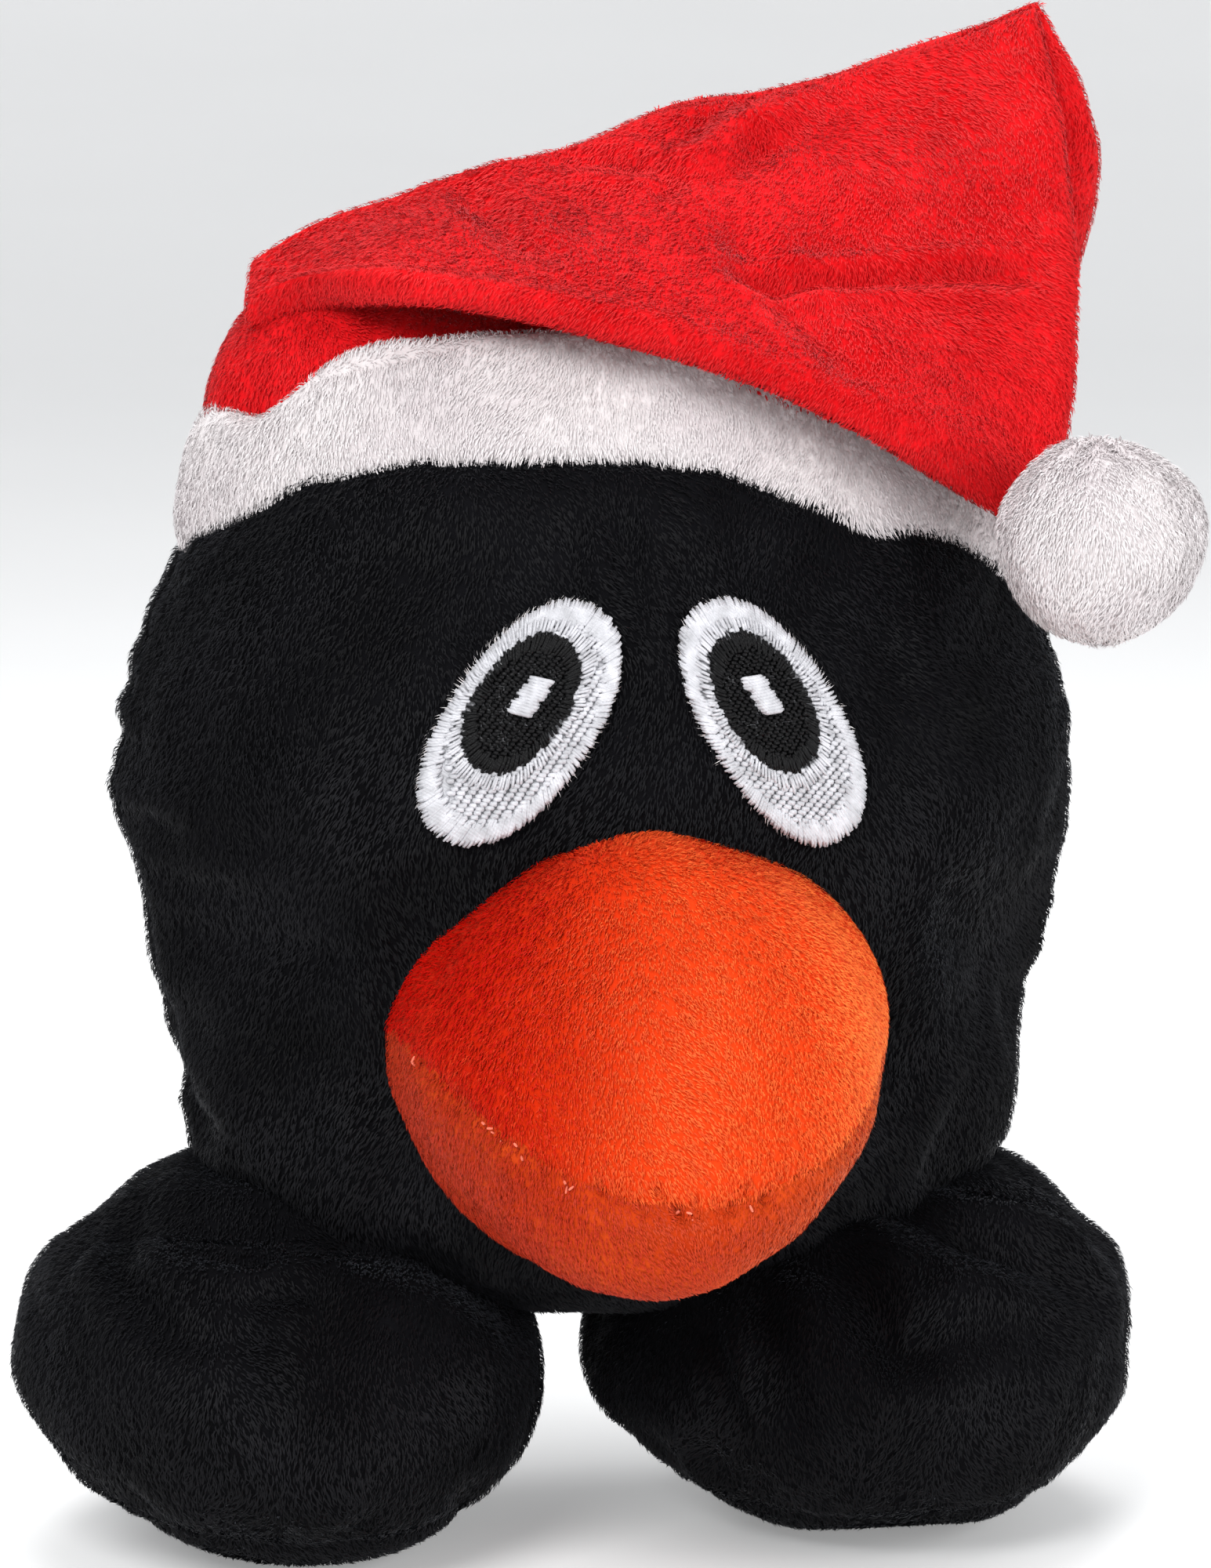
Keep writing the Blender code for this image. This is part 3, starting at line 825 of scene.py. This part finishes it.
def make_beak():
    skin = grid_object("beak_skin", beak_points(*sweep(140, -0.05, 1, 70)), wrap=True)
    subdivide(skin)

    def relief(points, normals):
        away = points[:, 2] - seam_level(points)
        front = step(-34, -42, points[:, 1])
        total = 0.35 * waves(points, 9.0, 51) + 0.15 * waves(points, 4.5, 54)
        front *= 1 - 0.8 * step(5, 12, points[:, 0])
        total += front * (0.2 * bell((away - 2.4) / 1.5) + 0.3 * bell((away + 2.6) / 1.8))
        total -= 0.35 * front * bell(away / 0.8)
        for k in range(12):
            x = -10.5 + 1.75 * k
            drift = away - 0.3 + 0.9 * np.sin(3.7 * k)
            stitch = bell((points[:, 0] - x) / 0.6) * bell(drift / 0.7)
            total -= (0.6 + 0.3 * np.sin(5.0 * k)) * stitch * step(-56, -60, points[:, 1])
        total += 0.9 * bell((points[:, 0] - 13.5) / 3.2) * bell((away - 0.6) / 1.3) * front
        return total

    move_out(skin, relief)
    skin.data.materials.append(ORANGE["backing"])
    skin.data.materials.append(ORANGE_LOW_SHADED["backing"])
    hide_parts("beak_upper_panel", "beak_lower_panel", "beak_stuffing")

    def flow(points, normals):
        return [0.15, 0.0, -1.0] + waves(points, 12.0, 52)[:, None] * [0.6, 0.3, 0.3]

    def tone(points):
        # light: deep orange on the left to lighter on the right, partly the pile's own brushing and partly
        # painted light from the right; rim: a painted sheen along the right edge.
        light = step(-24, 2, points[:, 0] + BEAK_TONE_LEAN * (BEAK_MOUTH_Z - points[:, 2]))
        rim = step(8, 20, points[:, 0])
        share = 0.01 + 0.41 * light + 0.44 * rim + 0.05 * waves(points, 8.0, 53)
        return np.maximum(share, 0) ** (1 / ORANGE_CURVE)

    # Tone of the lower beak's painted-shade colours: lighter towards the right, in patches.
    def low_shaded_tone(points):
        return 0.4 + 0.03 * points[:, 0] + 0.2 * waves(points, 8.0, 55)

    def above_seam(points, normals):
        return points[:, 2] > seam_level(points) + 0.5 * waves(points, 3.0, 56)

    def below_seam(points, normals):
        return ~above_seam(points, normals)

    # Faces below the mouth seam take the lower beak's backing, painted shade of the underside.
    middles = read_all(skin.data.polygons, "center") / MM - HOME
    skin.data.polygons.foreach_set("material_index", below_seam(middles, None).astype(np.int32))

    upper = fibres("beak_plush_upper", skin, ORANGE, BEAK_PILE, flow, tone, 301, above_seam)
    lower = fibres("beak_plush_lower", skin, ORANGE_LOW_SHADED, BEAK_PILE, flow, low_shaded_tone, 302, below_seam)

    rng = np.random.default_rng(303)
    share = np.concatenate([[0.2, 0.23], rng.uniform(0.42, 0.74, 9), rng.uniform(0.9, 1.15, 4)])
    turn = np.where(share > 1, 0.0, pi)
    starts = beak_points(turn, np.minimum(share, 2 - share))
    starts += unit(starts - [BEAK_X, -30, BEAK_MOUTH_Z]) * 0.35
    starts += rng.normal(size=starts.shape) * [0.15, 0.05, 0.4]
    ends = starts + unit(rng.normal(size=starts.shape)) * rng.uniform(0.35, 0.75, len(share))[:, None]
    sewn = threads("beak_seam_stitches", starts, ends, 0.26, ORANGE_THREAD)
    dress((skin, upper, lower, sewn), "body")


# ---------------------------------------------------------------- embroidered eyes
EYES = {"left": 36.0, "right": -32.0}     # how far each eye's top leans, in degrees
EYE_HALF = {"white": (6.6, 13.3), "pupil": (4.2, 7.6), "highlight": (1.15, 1.9)}
EYE_POWER = 2.2                     # how square the ovals' outlines are: 2 is an ellipse
EYE_RAISE = {"white": 0.75, "pupil": 1.05, "highlight": 1.3}


def eye_axes(side, layer):
    """Middle, across and along of a layer, all in X and Z."""
    place = middle("eye_" + layer + "_" + side)
    tilt = radians(EYES[side])
    across = np.array([np.cos(tilt), -np.sin(tilt)])
    along = np.array([np.sin(tilt), np.cos(tilt)])
    return place[[0, 2]], across, along


def eye_reach(points, side, layer, grow=0.0):
    """0 in the middle of an embroidered oval and 1 on its rim."""
    place, across, along = eye_axes(side, layer)
    flat = points[:, [0, 2]] - place
    half = np.array(EYE_HALF[layer]) + grow
    a = np.abs(flat @ across / half[0])
    b = np.abs(flat @ along / half[1])
    return (a ** EYE_POWER + b ** EYE_POWER) ** (1 / EYE_POWER)


def oval(side, layer, turn, share):
    """X and Z at a turn round a layer's oval, share of the way out."""
    place, across, along = eye_axes(side, layer)
    half = EYE_HALF[layer]
    a = signed_power(np.cos(turn), 2 / EYE_POWER) * half[0] * share
    b = signed_power(np.sin(turn), 2 / EYE_POWER) * half[1] * share
    return place + a[:, None] * across + b[:, None] * along


def on_face(flat, raised):
    """Points raised off the face at X and Z."""
    y = face_y(flat[:, 0], flat[:, 1]) - raised
    return np.stack([flat[:, 0], y, flat[:, 1]], axis=1)


def stitches(name, start, end, width, arch, raised, material):
    """Thread laid from start to end: half-round strands that rise in the middle and dive at the ends."""
    along = np.linspace(0, 1, 6)
    section = turns(STRAND_SIDES)
    rings = []
    for t in along:
        flat = start * (1 - t) + end * t
        lift = raised + arch * (1 - (2 * t - 1) ** 4) - 0.35 * (t in (0.0, 1.0))
        centre = on_face(flat, lift)
        run = unit(on_face(end, raised) - on_face(start, raised))
        out = np.stack([(flat[:, 0] - BODY_X) * BODY_DEPTH, centre[:, 1] / BODY_DEPTH, 0 * flat[:, 0]], 1)
        out = unit(out)
        side = unit(np.cross(run, out))
        thin = width * (0.55 if t in (0.0, 1.0) else 1.0)
        ring = [centre + side * (np.cos(a) * thin / 2)[..., None] + out * (np.sin(a) * thin * 0.4)
                for a in section]
        rings.append(np.stack(ring, axis=1))
    mesh = mesh_from(name, np.stack(rings, axis=1), strand_faces(len(start), len(along), capped=True))
    mesh.shade_smooth()
    mesh.materials.append(material)
    return put_in_scene(name, mesh)


def fill_rows(side, layer, outer, hole, spacing, stitch, slant, rng):
    """Starts and ends of the staggered short stitches that fill an oval outside a hole."""
    place, across, along = eye_axes(side, layer)
    half = np.array(EYE_HALF[layer])
    rows = np.arange(-half[1], half[1], spacing)
    starts = []
    ends = []
    turn = radians(slant) * np.sign(EYES[side])
    run = across * np.cos(turn) + along * np.sin(turn)
    rise = along * np.cos(turn) - across * np.sin(turn)
    for k, row in enumerate(rows):
        shift = (k % 3) * stitch / 3
        for step_x in np.arange(-half[0] - stitch, half[0] + stitch, stitch):
            a = place + run * (step_x + shift) + rise * row
            starts.append(a)
            ends.append(a + run * stitch * 0.98)
    starts = np.array(starts) + rng.normal(size=(len(starts), 2)) * 0.05
    ends = np.array(ends) + rng.normal(size=(len(ends), 2)) * 0.05
    centre = (starts + ends) / 2
    probe = np.stack([centre[:, 0], 0 * centre[:, 0], centre[:, 1]], axis=1)
    kept = eye_reach(probe, side, layer) < outer
    if hole:
        kept &= eye_reach(probe, side, "pupil") > hole
    return starts[kept], ends[kept]


def make_eye(side):
    seed = 61 if side == "left" else 67
    rng = np.random.default_rng(seed)
    made = []

    def sew(name, slot, thread, starts, ends, width, arch, raised):
        piece = stitches(name + "_" + side, starts, ends, width, arch, raised, thread)
        made.append((piece, slot))
        return piece

    def edge(layer, count, uneven, outer, inner, twist):
        """Starts and ends of stitches across a rim, each end a share of the way out and its spread."""
        turn = turns(count) + rng.normal(size=count) * uneven
        starts = oval(side, layer, turn, outer[0] + rng.uniform(outer[1], outer[2], count))
        ends = oval(side, layer, turn + twist, inner[0] + rng.uniform(inner[1], inner[2], count))
        return starts, ends

    white = EYE_RAISE["white"]
    black = EYE_RAISE["pupil"]
    rings = []
    for share in (0.0, 0.2, 0.4, 0.6, 0.8, 0.93, 0.97):
        rings.append(on_face(oval(side, "white", turns(96), share), white - 0.2 - (share > 0.93) * 1.3))
    ground = grid_object("eye_ground_" + side, np.stack(rings), wrap=True)
    ground.data.materials.append(WHITE_THREAD)
    made.append((ground, "white_thread"))

    rows = fill_rows(side, "white", 0.90, 0.98, 0.40, 0.95, 40, rng)
    sew("eye_white_fill", "white_thread", WHITE_THREAD, *rows, 0.54, 0.14, white - 0.03)
    rows = edge("white", 250, 0.006, (1.0, -0.02, 0.02), (0.78, -0.05, 0.04), 0.03)
    border = sew("eye_white_border", "white_thread", WHITE_THREAD, *rows, 0.36, 0.2, white)
    rows = fill_rows(side, "pupil", 0.92, None, 0.34, 0.7, 30, rng)
    sew("eye_pupil_fill", "black_thread", BLACK_THREAD, *rows, 0.40, 0.14, black - 0.1)
    rows = edge("pupil", 130, 0.012, (1.0, -0.05, 0.05), (0.72, -0.06, 0.06), 0.04)
    rim = sew("eye_pupil_border", "black_thread", BLACK_THREAD, *rows, 0.30, 0.18, black)
    rows = edge("pupil", 110, 0.012, (1.24, -0.06, 0.06), (0.98, -0.05, 0.05), 0.0)
    sew("eye_white_teeth", "white_thread", WHITE_THREAD, *rows, 0.28, 0.2, white + 0.2)

    place, across, along = eye_axes(side, "highlight")
    half = EYE_HALF["highlight"]
    level = np.linspace(-half[1], half[1], 13)[:, None]
    slant = along * 0.5 * np.sign(EYES[side])
    jag = across * half[0] * (1 + rng.uniform(-0.15, 0.15, (13, 1)))
    starts = place + level * along - jag - slant
    ends = place + level * along + jag + slant
    shine = sew("eye_highlight_stitches", "white_thread", WHITE_THREAD, starts, ends, 0.50, 0.25,
                EYE_RAISE["highlight"])

    def away(points, normals):
        place = eye_axes(side, "white")[0]
        flat = points[:, [0, 2]] - place
        return np.stack([flat[:, 0], 0 * flat[:, 0], flat[:, 1]], axis=1)

    def at_rim(points, normals):
        return eye_reach(points, side, "white") > 0.93

    def bright(points):
        return 0.7 + 0 * points[:, 0]

    fray = fibres("eye_fray_" + side, ground, WHITE, FRAY_PILE, away, bright, seed + 1, at_rim)
    made.append((fray, "white_thread"))

    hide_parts("eye_white_" + side)
    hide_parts("eye_pupil_" + side)
    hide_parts("eye_highlight_" + side)
    for piece, slot in made:
        dress([piece], "body")


# ---------------------------------------------------------------- hat
def band_level(angle):
    forward = np.maximum(0.0, -np.sin(angle))
    dip = 1.7 * bell((np.cos(angle) - 0.6) / 0.3) * forward
    return BAND_LEVEL - BAND_LEAN * np.cos(angle) + BAND_ARCH * forward ** 1.2 - dip


def above_band(points):
    """How high points are above the band's middle line, 1 at its upper edge."""
    return (points[:, 2] - band_level(turn_round(points))) / BAND_HALF_HEIGHT


def band_top(angle):
    """How far the band's upper edge stands above or below its even course at the left temple."""
    forward = -np.sin(angle)
    left = step(-0.1, -0.5, np.cos(angle))
    return left * (2.0 * bell(forward / 0.16) - 2.2 * bell((forward - 0.34) / 0.12)
                   + 1.8 * bell((forward - 0.62) / 0.17))


def beside_head(angle, height, offset):
    """Points beside the head: height up from the band's middle line, offset out from the body."""
    z = band_level(angle) + height
    radius = half_width(z - 0.65 * height)
    x = BODY_X + (radius + offset) * np.cos(angle)
    y = (BODY_DEPTH * radius + offset) * np.sin(angle)
    return np.stack([x, y, z], axis=-1)


def make_band():
    angle, turn = np.meshgrid(turns(220), turns(40))
    s = np.sin(turn)
    height = (BAND_HALF_HEIGHT - 0.3) * signed_power(s, 0.75)
    height = height + np.maximum(s, 0) * band_top(angle)
    offset = 2.4 + 0.5 * s + 1.9 * signed_power(np.cos(turn), 0.8)
    points = beside_head(angle, height, offset)
    points = np.concatenate([points, points[:1]])
    skin = grid_object("hat_band_skin", points, wrap=True)

    def relief(points, normals):
        total = 0.35 * waves(points, 10.0, 71) + 0.2 * waves(points, 5.0, 72)
        total += press(points, [(28, -27, 116), (33, -24, 112), (37, -20, 109.5)], 0.9, 1.6)
        total += press(points, [(-37, -4, 118), (-36.5, -12, 117), (-34, -18, 119)], 0.8, 1.5)
        return total

    move_out(skin, relief)
    skin.data.materials.append(WHITE["backing"])
    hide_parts("hat_band")

    def flow(points, normals):
        up = 1.8 * step(0.8, 1.05, above_band(points)) - 1
        down = np.stack([0.4 * (1 - np.abs(up)) + 0.2 * waves(points, 8.0, 73), 0 * up, up], axis=1)
        return down + waves(points, 12.0, 74)[:, None] * [0.5, 0, 0]

    def keep(points, normals):
        radial = np.stack([points[:, 0] - BODY_X, points[:, 1] / BODY_DEPTH, 0 * points[:, 0]], axis=1)
        return (unit(radial) * normals).sum(1) > -0.55

    def reach(points):
        return 0.95 + 0.85 * step(-0.55, -0.95, above_band(points))

    tone = mottled(0.62, 0.16, 11.0, 75)
    coat = fibres("hat_band_plush", skin, WHITE, BAND_PILE, flow, tone, 401, keep, reach)
    dress((skin, coat), "body")


def ridge_z(x):
    slope = (RIDGE_RIGHT[1] - RIDGE_LEFT[1]) / (RIDGE_RIGHT[0] - RIDGE_LEFT[0])
    humps = bell((x + 14) / 12) + 1.9 * bell((x - 8) / 8)
    humps = humps - 0.6 * bell((x - 22) / 6) + 0.5 * bell((x - 47) / 5)
    return RIDGE_LEFT[1] + slope * (x - RIDGE_LEFT[0]) + humps


def clear_of_head(points, margin):
    """Move points sideways until they are margin clear of the head."""
    wide = half_width(points[..., 2]) + margin
    deep = BODY_DEPTH * half_width(points[..., 2]) + margin
    reach = np.sqrt(((points[..., 0] - BODY_X) / wide) ** 2 + (points[..., 1] / deep) ** 2)
    push = np.where((reach < 1) & (points[..., 2] < HEAD_TOP + margin), 1 / np.maximum(reach, 0.2), 1.0)
    moved = points.copy()
    moved[..., 0] = BODY_X + (points[..., 0] - BODY_X) * push
    moved[..., 1] = points[..., 1] * push
    return moved


def make_crown():
    angle, v = sweep(200, -0.06, 1, 60)
    low = beside_head(angle, BAND_HALF_HEIGHT - 1.0, 2.8)
    x = (RIDGE_LEFT[0] + RIDGE_RIGHT[0]) / 2 + 40.0 * np.cos(angle)
    left_end = step(-0.75, -1.0, np.cos(angle))
    x = x + 1.0 * left_end
    high_y = FOLD_Y + 1.0 + 0.8 * np.sign(np.sin(angle))
    high = np.stack([x, high_y, ridge_z(x) - 1.2 - 3.4 * left_end], axis=-1)
    points = low * (1 - v[..., None]) + high * v[..., None]
    fullness = 4 * v * (1 - v)
    points[..., 1] += np.where(np.sin(angle) > 0, 6.5, 0.0) * np.sin(angle) * fullness
    points[..., 0] += np.where(np.cos(angle) > 0, 4.5, 2.5) * np.cos(angle) * fullness
    points[..., 0] += 3.2 * bell((points[..., 2] - 141) / 9) * step(0.55, 0.95, np.cos(angle))
    points = clear_of_head(points, 2.4)
    skin = grid_object("hat_crown_skin", points, wrap=True)

    def relief(points, normals):
        total = 0.9 * waves(points, 12.0, 81) + 0.35 * waves(points, 6.0, 82)
        total += press(points, [(0, 20, 152), (1, 30, 138), (2, 38, 124), (2, 40, 112)], 0.8, 1.5)
        total += press(points, [(-38, -8, 120), (-33, -13, 123), (-26, -18, 126)], 0.9, 1.8)
        return total

    move_out(skin, relief)
    cloth = skin.modifiers.new("cloth", "SOLIDIFY")
    cloth.thickness = 0.8 * MM
    cloth.offset = -1
    apply_modifiers(skin)
    skin.data.materials.append(RED["backing"])
    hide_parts("hat_crown_front_panel", "hat_crown_back_panel")

    def flow(points, normals):
        return [0.0, 0.0, -1.0] + waves(points, 14.0, 83)[:, None] * [0.8, 0.3, 0]

    def keep(points, normals):
        away = points - [BODY_X, 0, 118]
        return (unit(away) * normals).sum(1) > -0.1

    def tone(points):
        # pocket: painted light that lifts the shade falling in the pocket under the flap; side: painted shade
        # darkening the crown's left end.
        pocket = step(6, -6, points[:, 0]) * (points[:, 1] < 0) * step(134, 124, points[:, 2])
        side = step(-24, -36, points[:, 0])
        return 0.45 + 0.25 * waves(points, 10.0, 84) + 0.35 * pocket - 0.3 * side

    coat = fibres("hat_crown_plush", skin, RED, CROWN_PILE, flow, tone, 501, keep)
    dress((skin, coat), "body")


def flap_middle(u, v):
    """Middle of the folded-over tip: u along the fold, v down from the fold to the hem."""
    top_x = RIDGE_LEFT[0] + (RIDGE_RIGHT[0] - RIDGE_LEFT[0]) * u
    top = np.stack([top_x, FOLD_Y + 0 * u, ridge_z(top_x) - FLAP_HALF_THICKNESS], axis=-1)
    low_x = RIDGE_LEFT[0] - 3 + (FLAP_APEX_X - RIDGE_LEFT[0] + 3) * u
    low_z = 129.9 - 0.0046 * (low_x + 35) ** 2
    low_y = -17 - 18 * np.sin(pi * np.minimum(u / 0.75, 1) / 2) + 8 * np.maximum(u - 0.75, 0) / 0.25
    low = np.stack([low_x, low_y, low_z], axis=-1)
    round_end = step(0.12, 0.0, u)
    vv = (v * (1 - 0.1 * round_end))[..., None]
    points = top * (1 - vv) + low * vv
    points[..., 0] += 3.0 * u ** 4 * np.sin(pi * v) - 0.6 * round_end ** 2
    points[..., 2] -= 2.4 * round_end ** 2 * np.sin(pi * np.minimum(v + 0.15, 1) / 2)
    back = 0.7 * step(0.2, 0.0, u) * (FOLD_Y - points[..., 1])
    points += back[..., None] * LOOK_WAY
    over = half_width(points[..., 2]) > np.abs(points[..., 0] - BODY_X)
    clear = face_y(points[..., 0], points[..., 2]) - 7.4
    points[..., 1] = np.where(over, np.minimum(points[..., 1], clear), points[..., 1])
    return points


def rounded_share(count):
    """Shares from 0 to 1, closer together at both ends."""
    t = np.linspace(0, 1, count)
    return 0.45 * t + 0.55 * (0.5 - 0.5 * np.cos(pi * t))


FLAP_CREASES = [
    ([(20.4, -2.4, 147.5), (17.5, -3.7, 145.7), (13.6, -5.1, 143.8), (10.2, -8, 141.2),
      (5.8, -8.8, 139.9)], -1.3, 2.0),
    ([(10, -23.3, 130.7), (12.7, -23.6, 130.2), (22.8, -21.8, 130.1), (35.6, -17.8, 129.8),
      (47, -14.8, 129.4)], 1.1, 1.3),
    ([(-2.7, -2.8, 141.1), (2.3, -6, 140.4), (5.8, -9.8, 139.2), (5.0, -14, 136)], 0.9, 1.5),
    ([(-13.3, 0.1, 139.1), (-12.3, -8.6, 136.7), (-10.9, -17.1, 134), (-8.1, -20.8, 132.6)], 0.8, 2.0),
    ([(11, -14.6, 136.8), (12.1, -20.6, 132.5), (15, -26, 128), (20.8, -31.3, 121.6)], 0.7, 2.2),
]


def make_flap():
    columns = 150
    rows = 90
    u, v = np.meshgrid(rounded_share(columns), rounded_share(rows))
    points = flap_middle(u, v)
    along = np.gradient(points, axis=1)
    down = np.gradient(points, axis=0)
    normal = unit(np.cross(down, along))
    edge = np.minimum(np.minimum(u * 80, (1 - u) * 80), np.minimum(v * 40, (1 - v) * 40))
    open_edge = np.sqrt(1 - (1 - np.clip(edge / 2.2, 0, 1)) ** 2)
    thick = (FLAP_HALF_THICKNESS + 0.35 * bell((edge - 2.5) / 2)) * open_edge
    front = points + normal * thick[..., None]
    back = points - normal * thick[..., None]
    both = np.stack([front, back])
    faces = grid_faces(rows, columns, False)
    all_faces = np.concatenate([faces[:, ::-1], faces + rows * columns]).tolist()
    skin = new_object("hat_tip_skin", both, all_faces, keep_winding=True)

    def relief(points, normals):
        total = 0.7 * waves(points, 14.0, 91) + 0.3 * waves(points, 6.5, 92)
        front = normals[:, 1] < 0.15
        shape = np.zeros(len(points))
        for path, depth, width in FLAP_CREASES:
            shape += press(points, path, 1.6 * depth, width)
        return total * 0.6 + shape * front * step(43.5, 39.5, points[:, 0])

    move_out(skin, relief)
    skin.data.materials.append(RED["backing"])
    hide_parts("hat_tip_front_panel", "hat_tip_back_panel")

    def flow(points, normals):
        right = step(5, 35, points[:, 0])[:, None]
        base = (1 - right) * [-0.55, 0, -0.85] + right * [0.25, 0, -1.0]
        return base + waves(points, 12.0, 93)[:, None] * [0.7, 0.2, 0.2]

    coat = fibres("hat_tip_plush", skin, RED, FLAP_PILE, flow, mottled(0.46, 0.22, 10.0, 94), 601)
    ridge = unit(np.array([RIDGE_RIGHT[0] - RIDGE_LEFT[0], 0, RIDGE_RIGHT[1] - RIDGE_LEFT[1]]))
    down_way = np.array([ridge[2] * 0.56, -0.81, -ridge[0] * 0.56])
    start = np.array([6.0, FOLD_Y, ridge_z(6.0) - 1.0])
    end = start + unit(down_way) * 9.0
    dress((skin, coat), ("body", "hat_tip", start, end))


def make_pompom():
    centre = middle("pompom_stuffing")
    radius = half_size("pompom_cover")[0] - 0.8
    angle, climb = sweep(90, -pi / 2, pi / 2, 46)
    ball = np.stack([np.cos(climb) * np.cos(angle), np.cos(climb) * np.sin(angle), np.sin(climb)], -1)
    skin = grid_object("pompom_skin", centre + ball * [radius, radius, radius * 0.97], wrap=True)

    def relief(points, normals):
        lines = np.arctan2(points[:, 1] - centre[1], points[:, 0] - centre[0])
        return 0.35 * waves(points, 6.0, 95) + 0.12 * np.sin(lines * 9 + 2 * waves(points, 8.0, 96))

    move_out(skin, relief)
    skin.data.materials.append(WHITE["backing"])
    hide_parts("pompom_cover", "pompom_stuffing", "pompom_thread")

    def flow(points, normals):
        return [0, 0, -1.0] + waves(points, 7.0, 97)[:, None] * [0.35, 0.15, 0]

    coat = fibres("pompom_plush", skin, WHITE, POMPOM_PILE, flow, mottled(0.62, 0.25, 6.0, 98), 701)
    rng = np.random.default_rng(702)
    tip = next(np.array(joint["pos_m"]) / MM - HOME for joint in frame["joints"]
               if joint["name"] == "pompom_hinge")
    starts = tip + rng.uniform(-0.6, 0.6, (9, 3))
    ends = centre + rng.uniform(-1.5, 1.5, (9, 3))
    sewn = threads("pompom_stitches", starts, ends, 0.6, WHITE_THREAD)
    dress((skin, coat, sewn), "pompom")


# ---------------------------------------------------------------- floor, light, camera
def make_floor():
    material = bpy.data.materials.new("pale_floor")
    material.use_nodes = True
    shader = material.node_tree.nodes["Principled BSDF"]
    set_inputs(shader, {"Roughness": 0.8, "Emission Color": (1, 1, 1, 1), "Emission Strength": 0.25})
    grain = add_node(material, "ShaderNodeTexNoise", Scale=40.0)
    colour_from(material, shader, grain, ((0.80, 0.80, 0.80), (0.84, 0.84, 0.84)), (0, 1))
    # Radius and height of the floor's section, in metres: flat, then rising far behind the toy
    dish = curve_through([(0.00002, 0), (1.4, 0), (2.3, 0), (2.8, 0.12), (3.05, 0.5), (3.1, 1.0)], 8)
    turn = turns(96)
    rings = np.stack([np.stack([radius * np.cos(turn), radius * np.sin(turn), 0 * turn + height], axis=1)
                      for radius, height in dish])
    mesh = bpy.data.meshes.new("studio_floor")
    mesh.from_pydata(rings.reshape(-1, 3).tolist(), [], grid_faces(len(dish), len(turn), True).tolist())
    mesh.shade_smooth()
    mesh.materials.append(material)
    floor = put_in_scene("studio_floor", mesh)
    floor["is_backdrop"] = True


# Lamps and camera stand in metres; each lamp has its place, its width and its power in watts
LAMPS = {"key": ((-0.45, -0.75, 0.75), 0.55, 9.4),
         "fill": ((0.7, -0.6, 0.35), 0.6, 4.2),
         "top": ((0.0, 0.15, 0.9), 0.6, 4.4)}
LAMP_TARGET = Vector((0.0, 0.0, 0.075))
WORLD_COLOUR = (0.95, 0.97, 1.0, 1)
WORLD_STRENGTH = 0.5
CAMERA_TARGET = Vector((0.0034, 0.014, 0.0773))
CAMERA_DISTANCE = 0.600
CAMERA_AZIMUTH = radians(-10)
CAMERA_CLIMB = radians(8)
LENS_MM = 135
SENSOR_MM = 36


def make_light(name, place, size, watts):
    light = bpy.data.lights.new(name, "AREA")
    light.shape = "DISK"
    light.size = size
    light.energy = watts
    lamp = put_in_scene(name, light)
    lamp.location = place
    lamp.visible_camera = False
    lamp.rotation_euler = (LAMP_TARGET - Vector(place)).to_track_quat("-Z", "Y").to_euler()


def make_studio():
    scene = bpy.context.scene
    scene.view_settings.view_transform = "Standard"
    world = bpy.data.worlds.new("studio")
    world.use_nodes = True
    set_inputs(world.node_tree.nodes["Background"], {"Color": WORLD_COLOUR, "Strength": WORLD_STRENGTH})
    scene.world = world
    for name, (place, size, watts) in LAMPS.items():
        make_light(name, place, size, watts)


def make_camera():
    flat = np.cos(CAMERA_CLIMB)
    back = Vector((np.sin(CAMERA_AZIMUTH) * flat, -np.cos(CAMERA_AZIMUTH) * flat, np.sin(CAMERA_CLIMB)))
    lens = bpy.data.cameras.new("camera")
    lens.lens = LENS_MM
    lens.sensor_width = SENSOR_MM
    camera = put_in_scene("camera", lens)
    camera.location = CAMERA_TARGET + back * CAMERA_DISTANCE
    camera.rotation_euler = (-back).to_track_quat("-Z", "Y").to_euler()
    bpy.context.scene.camera = camera


make_studio()
make_camera()
make_floor()
make_body()
for side in FEET:
    make_foot(side)
make_beak()
for side in EYES:
    make_eye(side)
make_band()
make_crown()
make_flap()
make_pompom()

low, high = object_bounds()
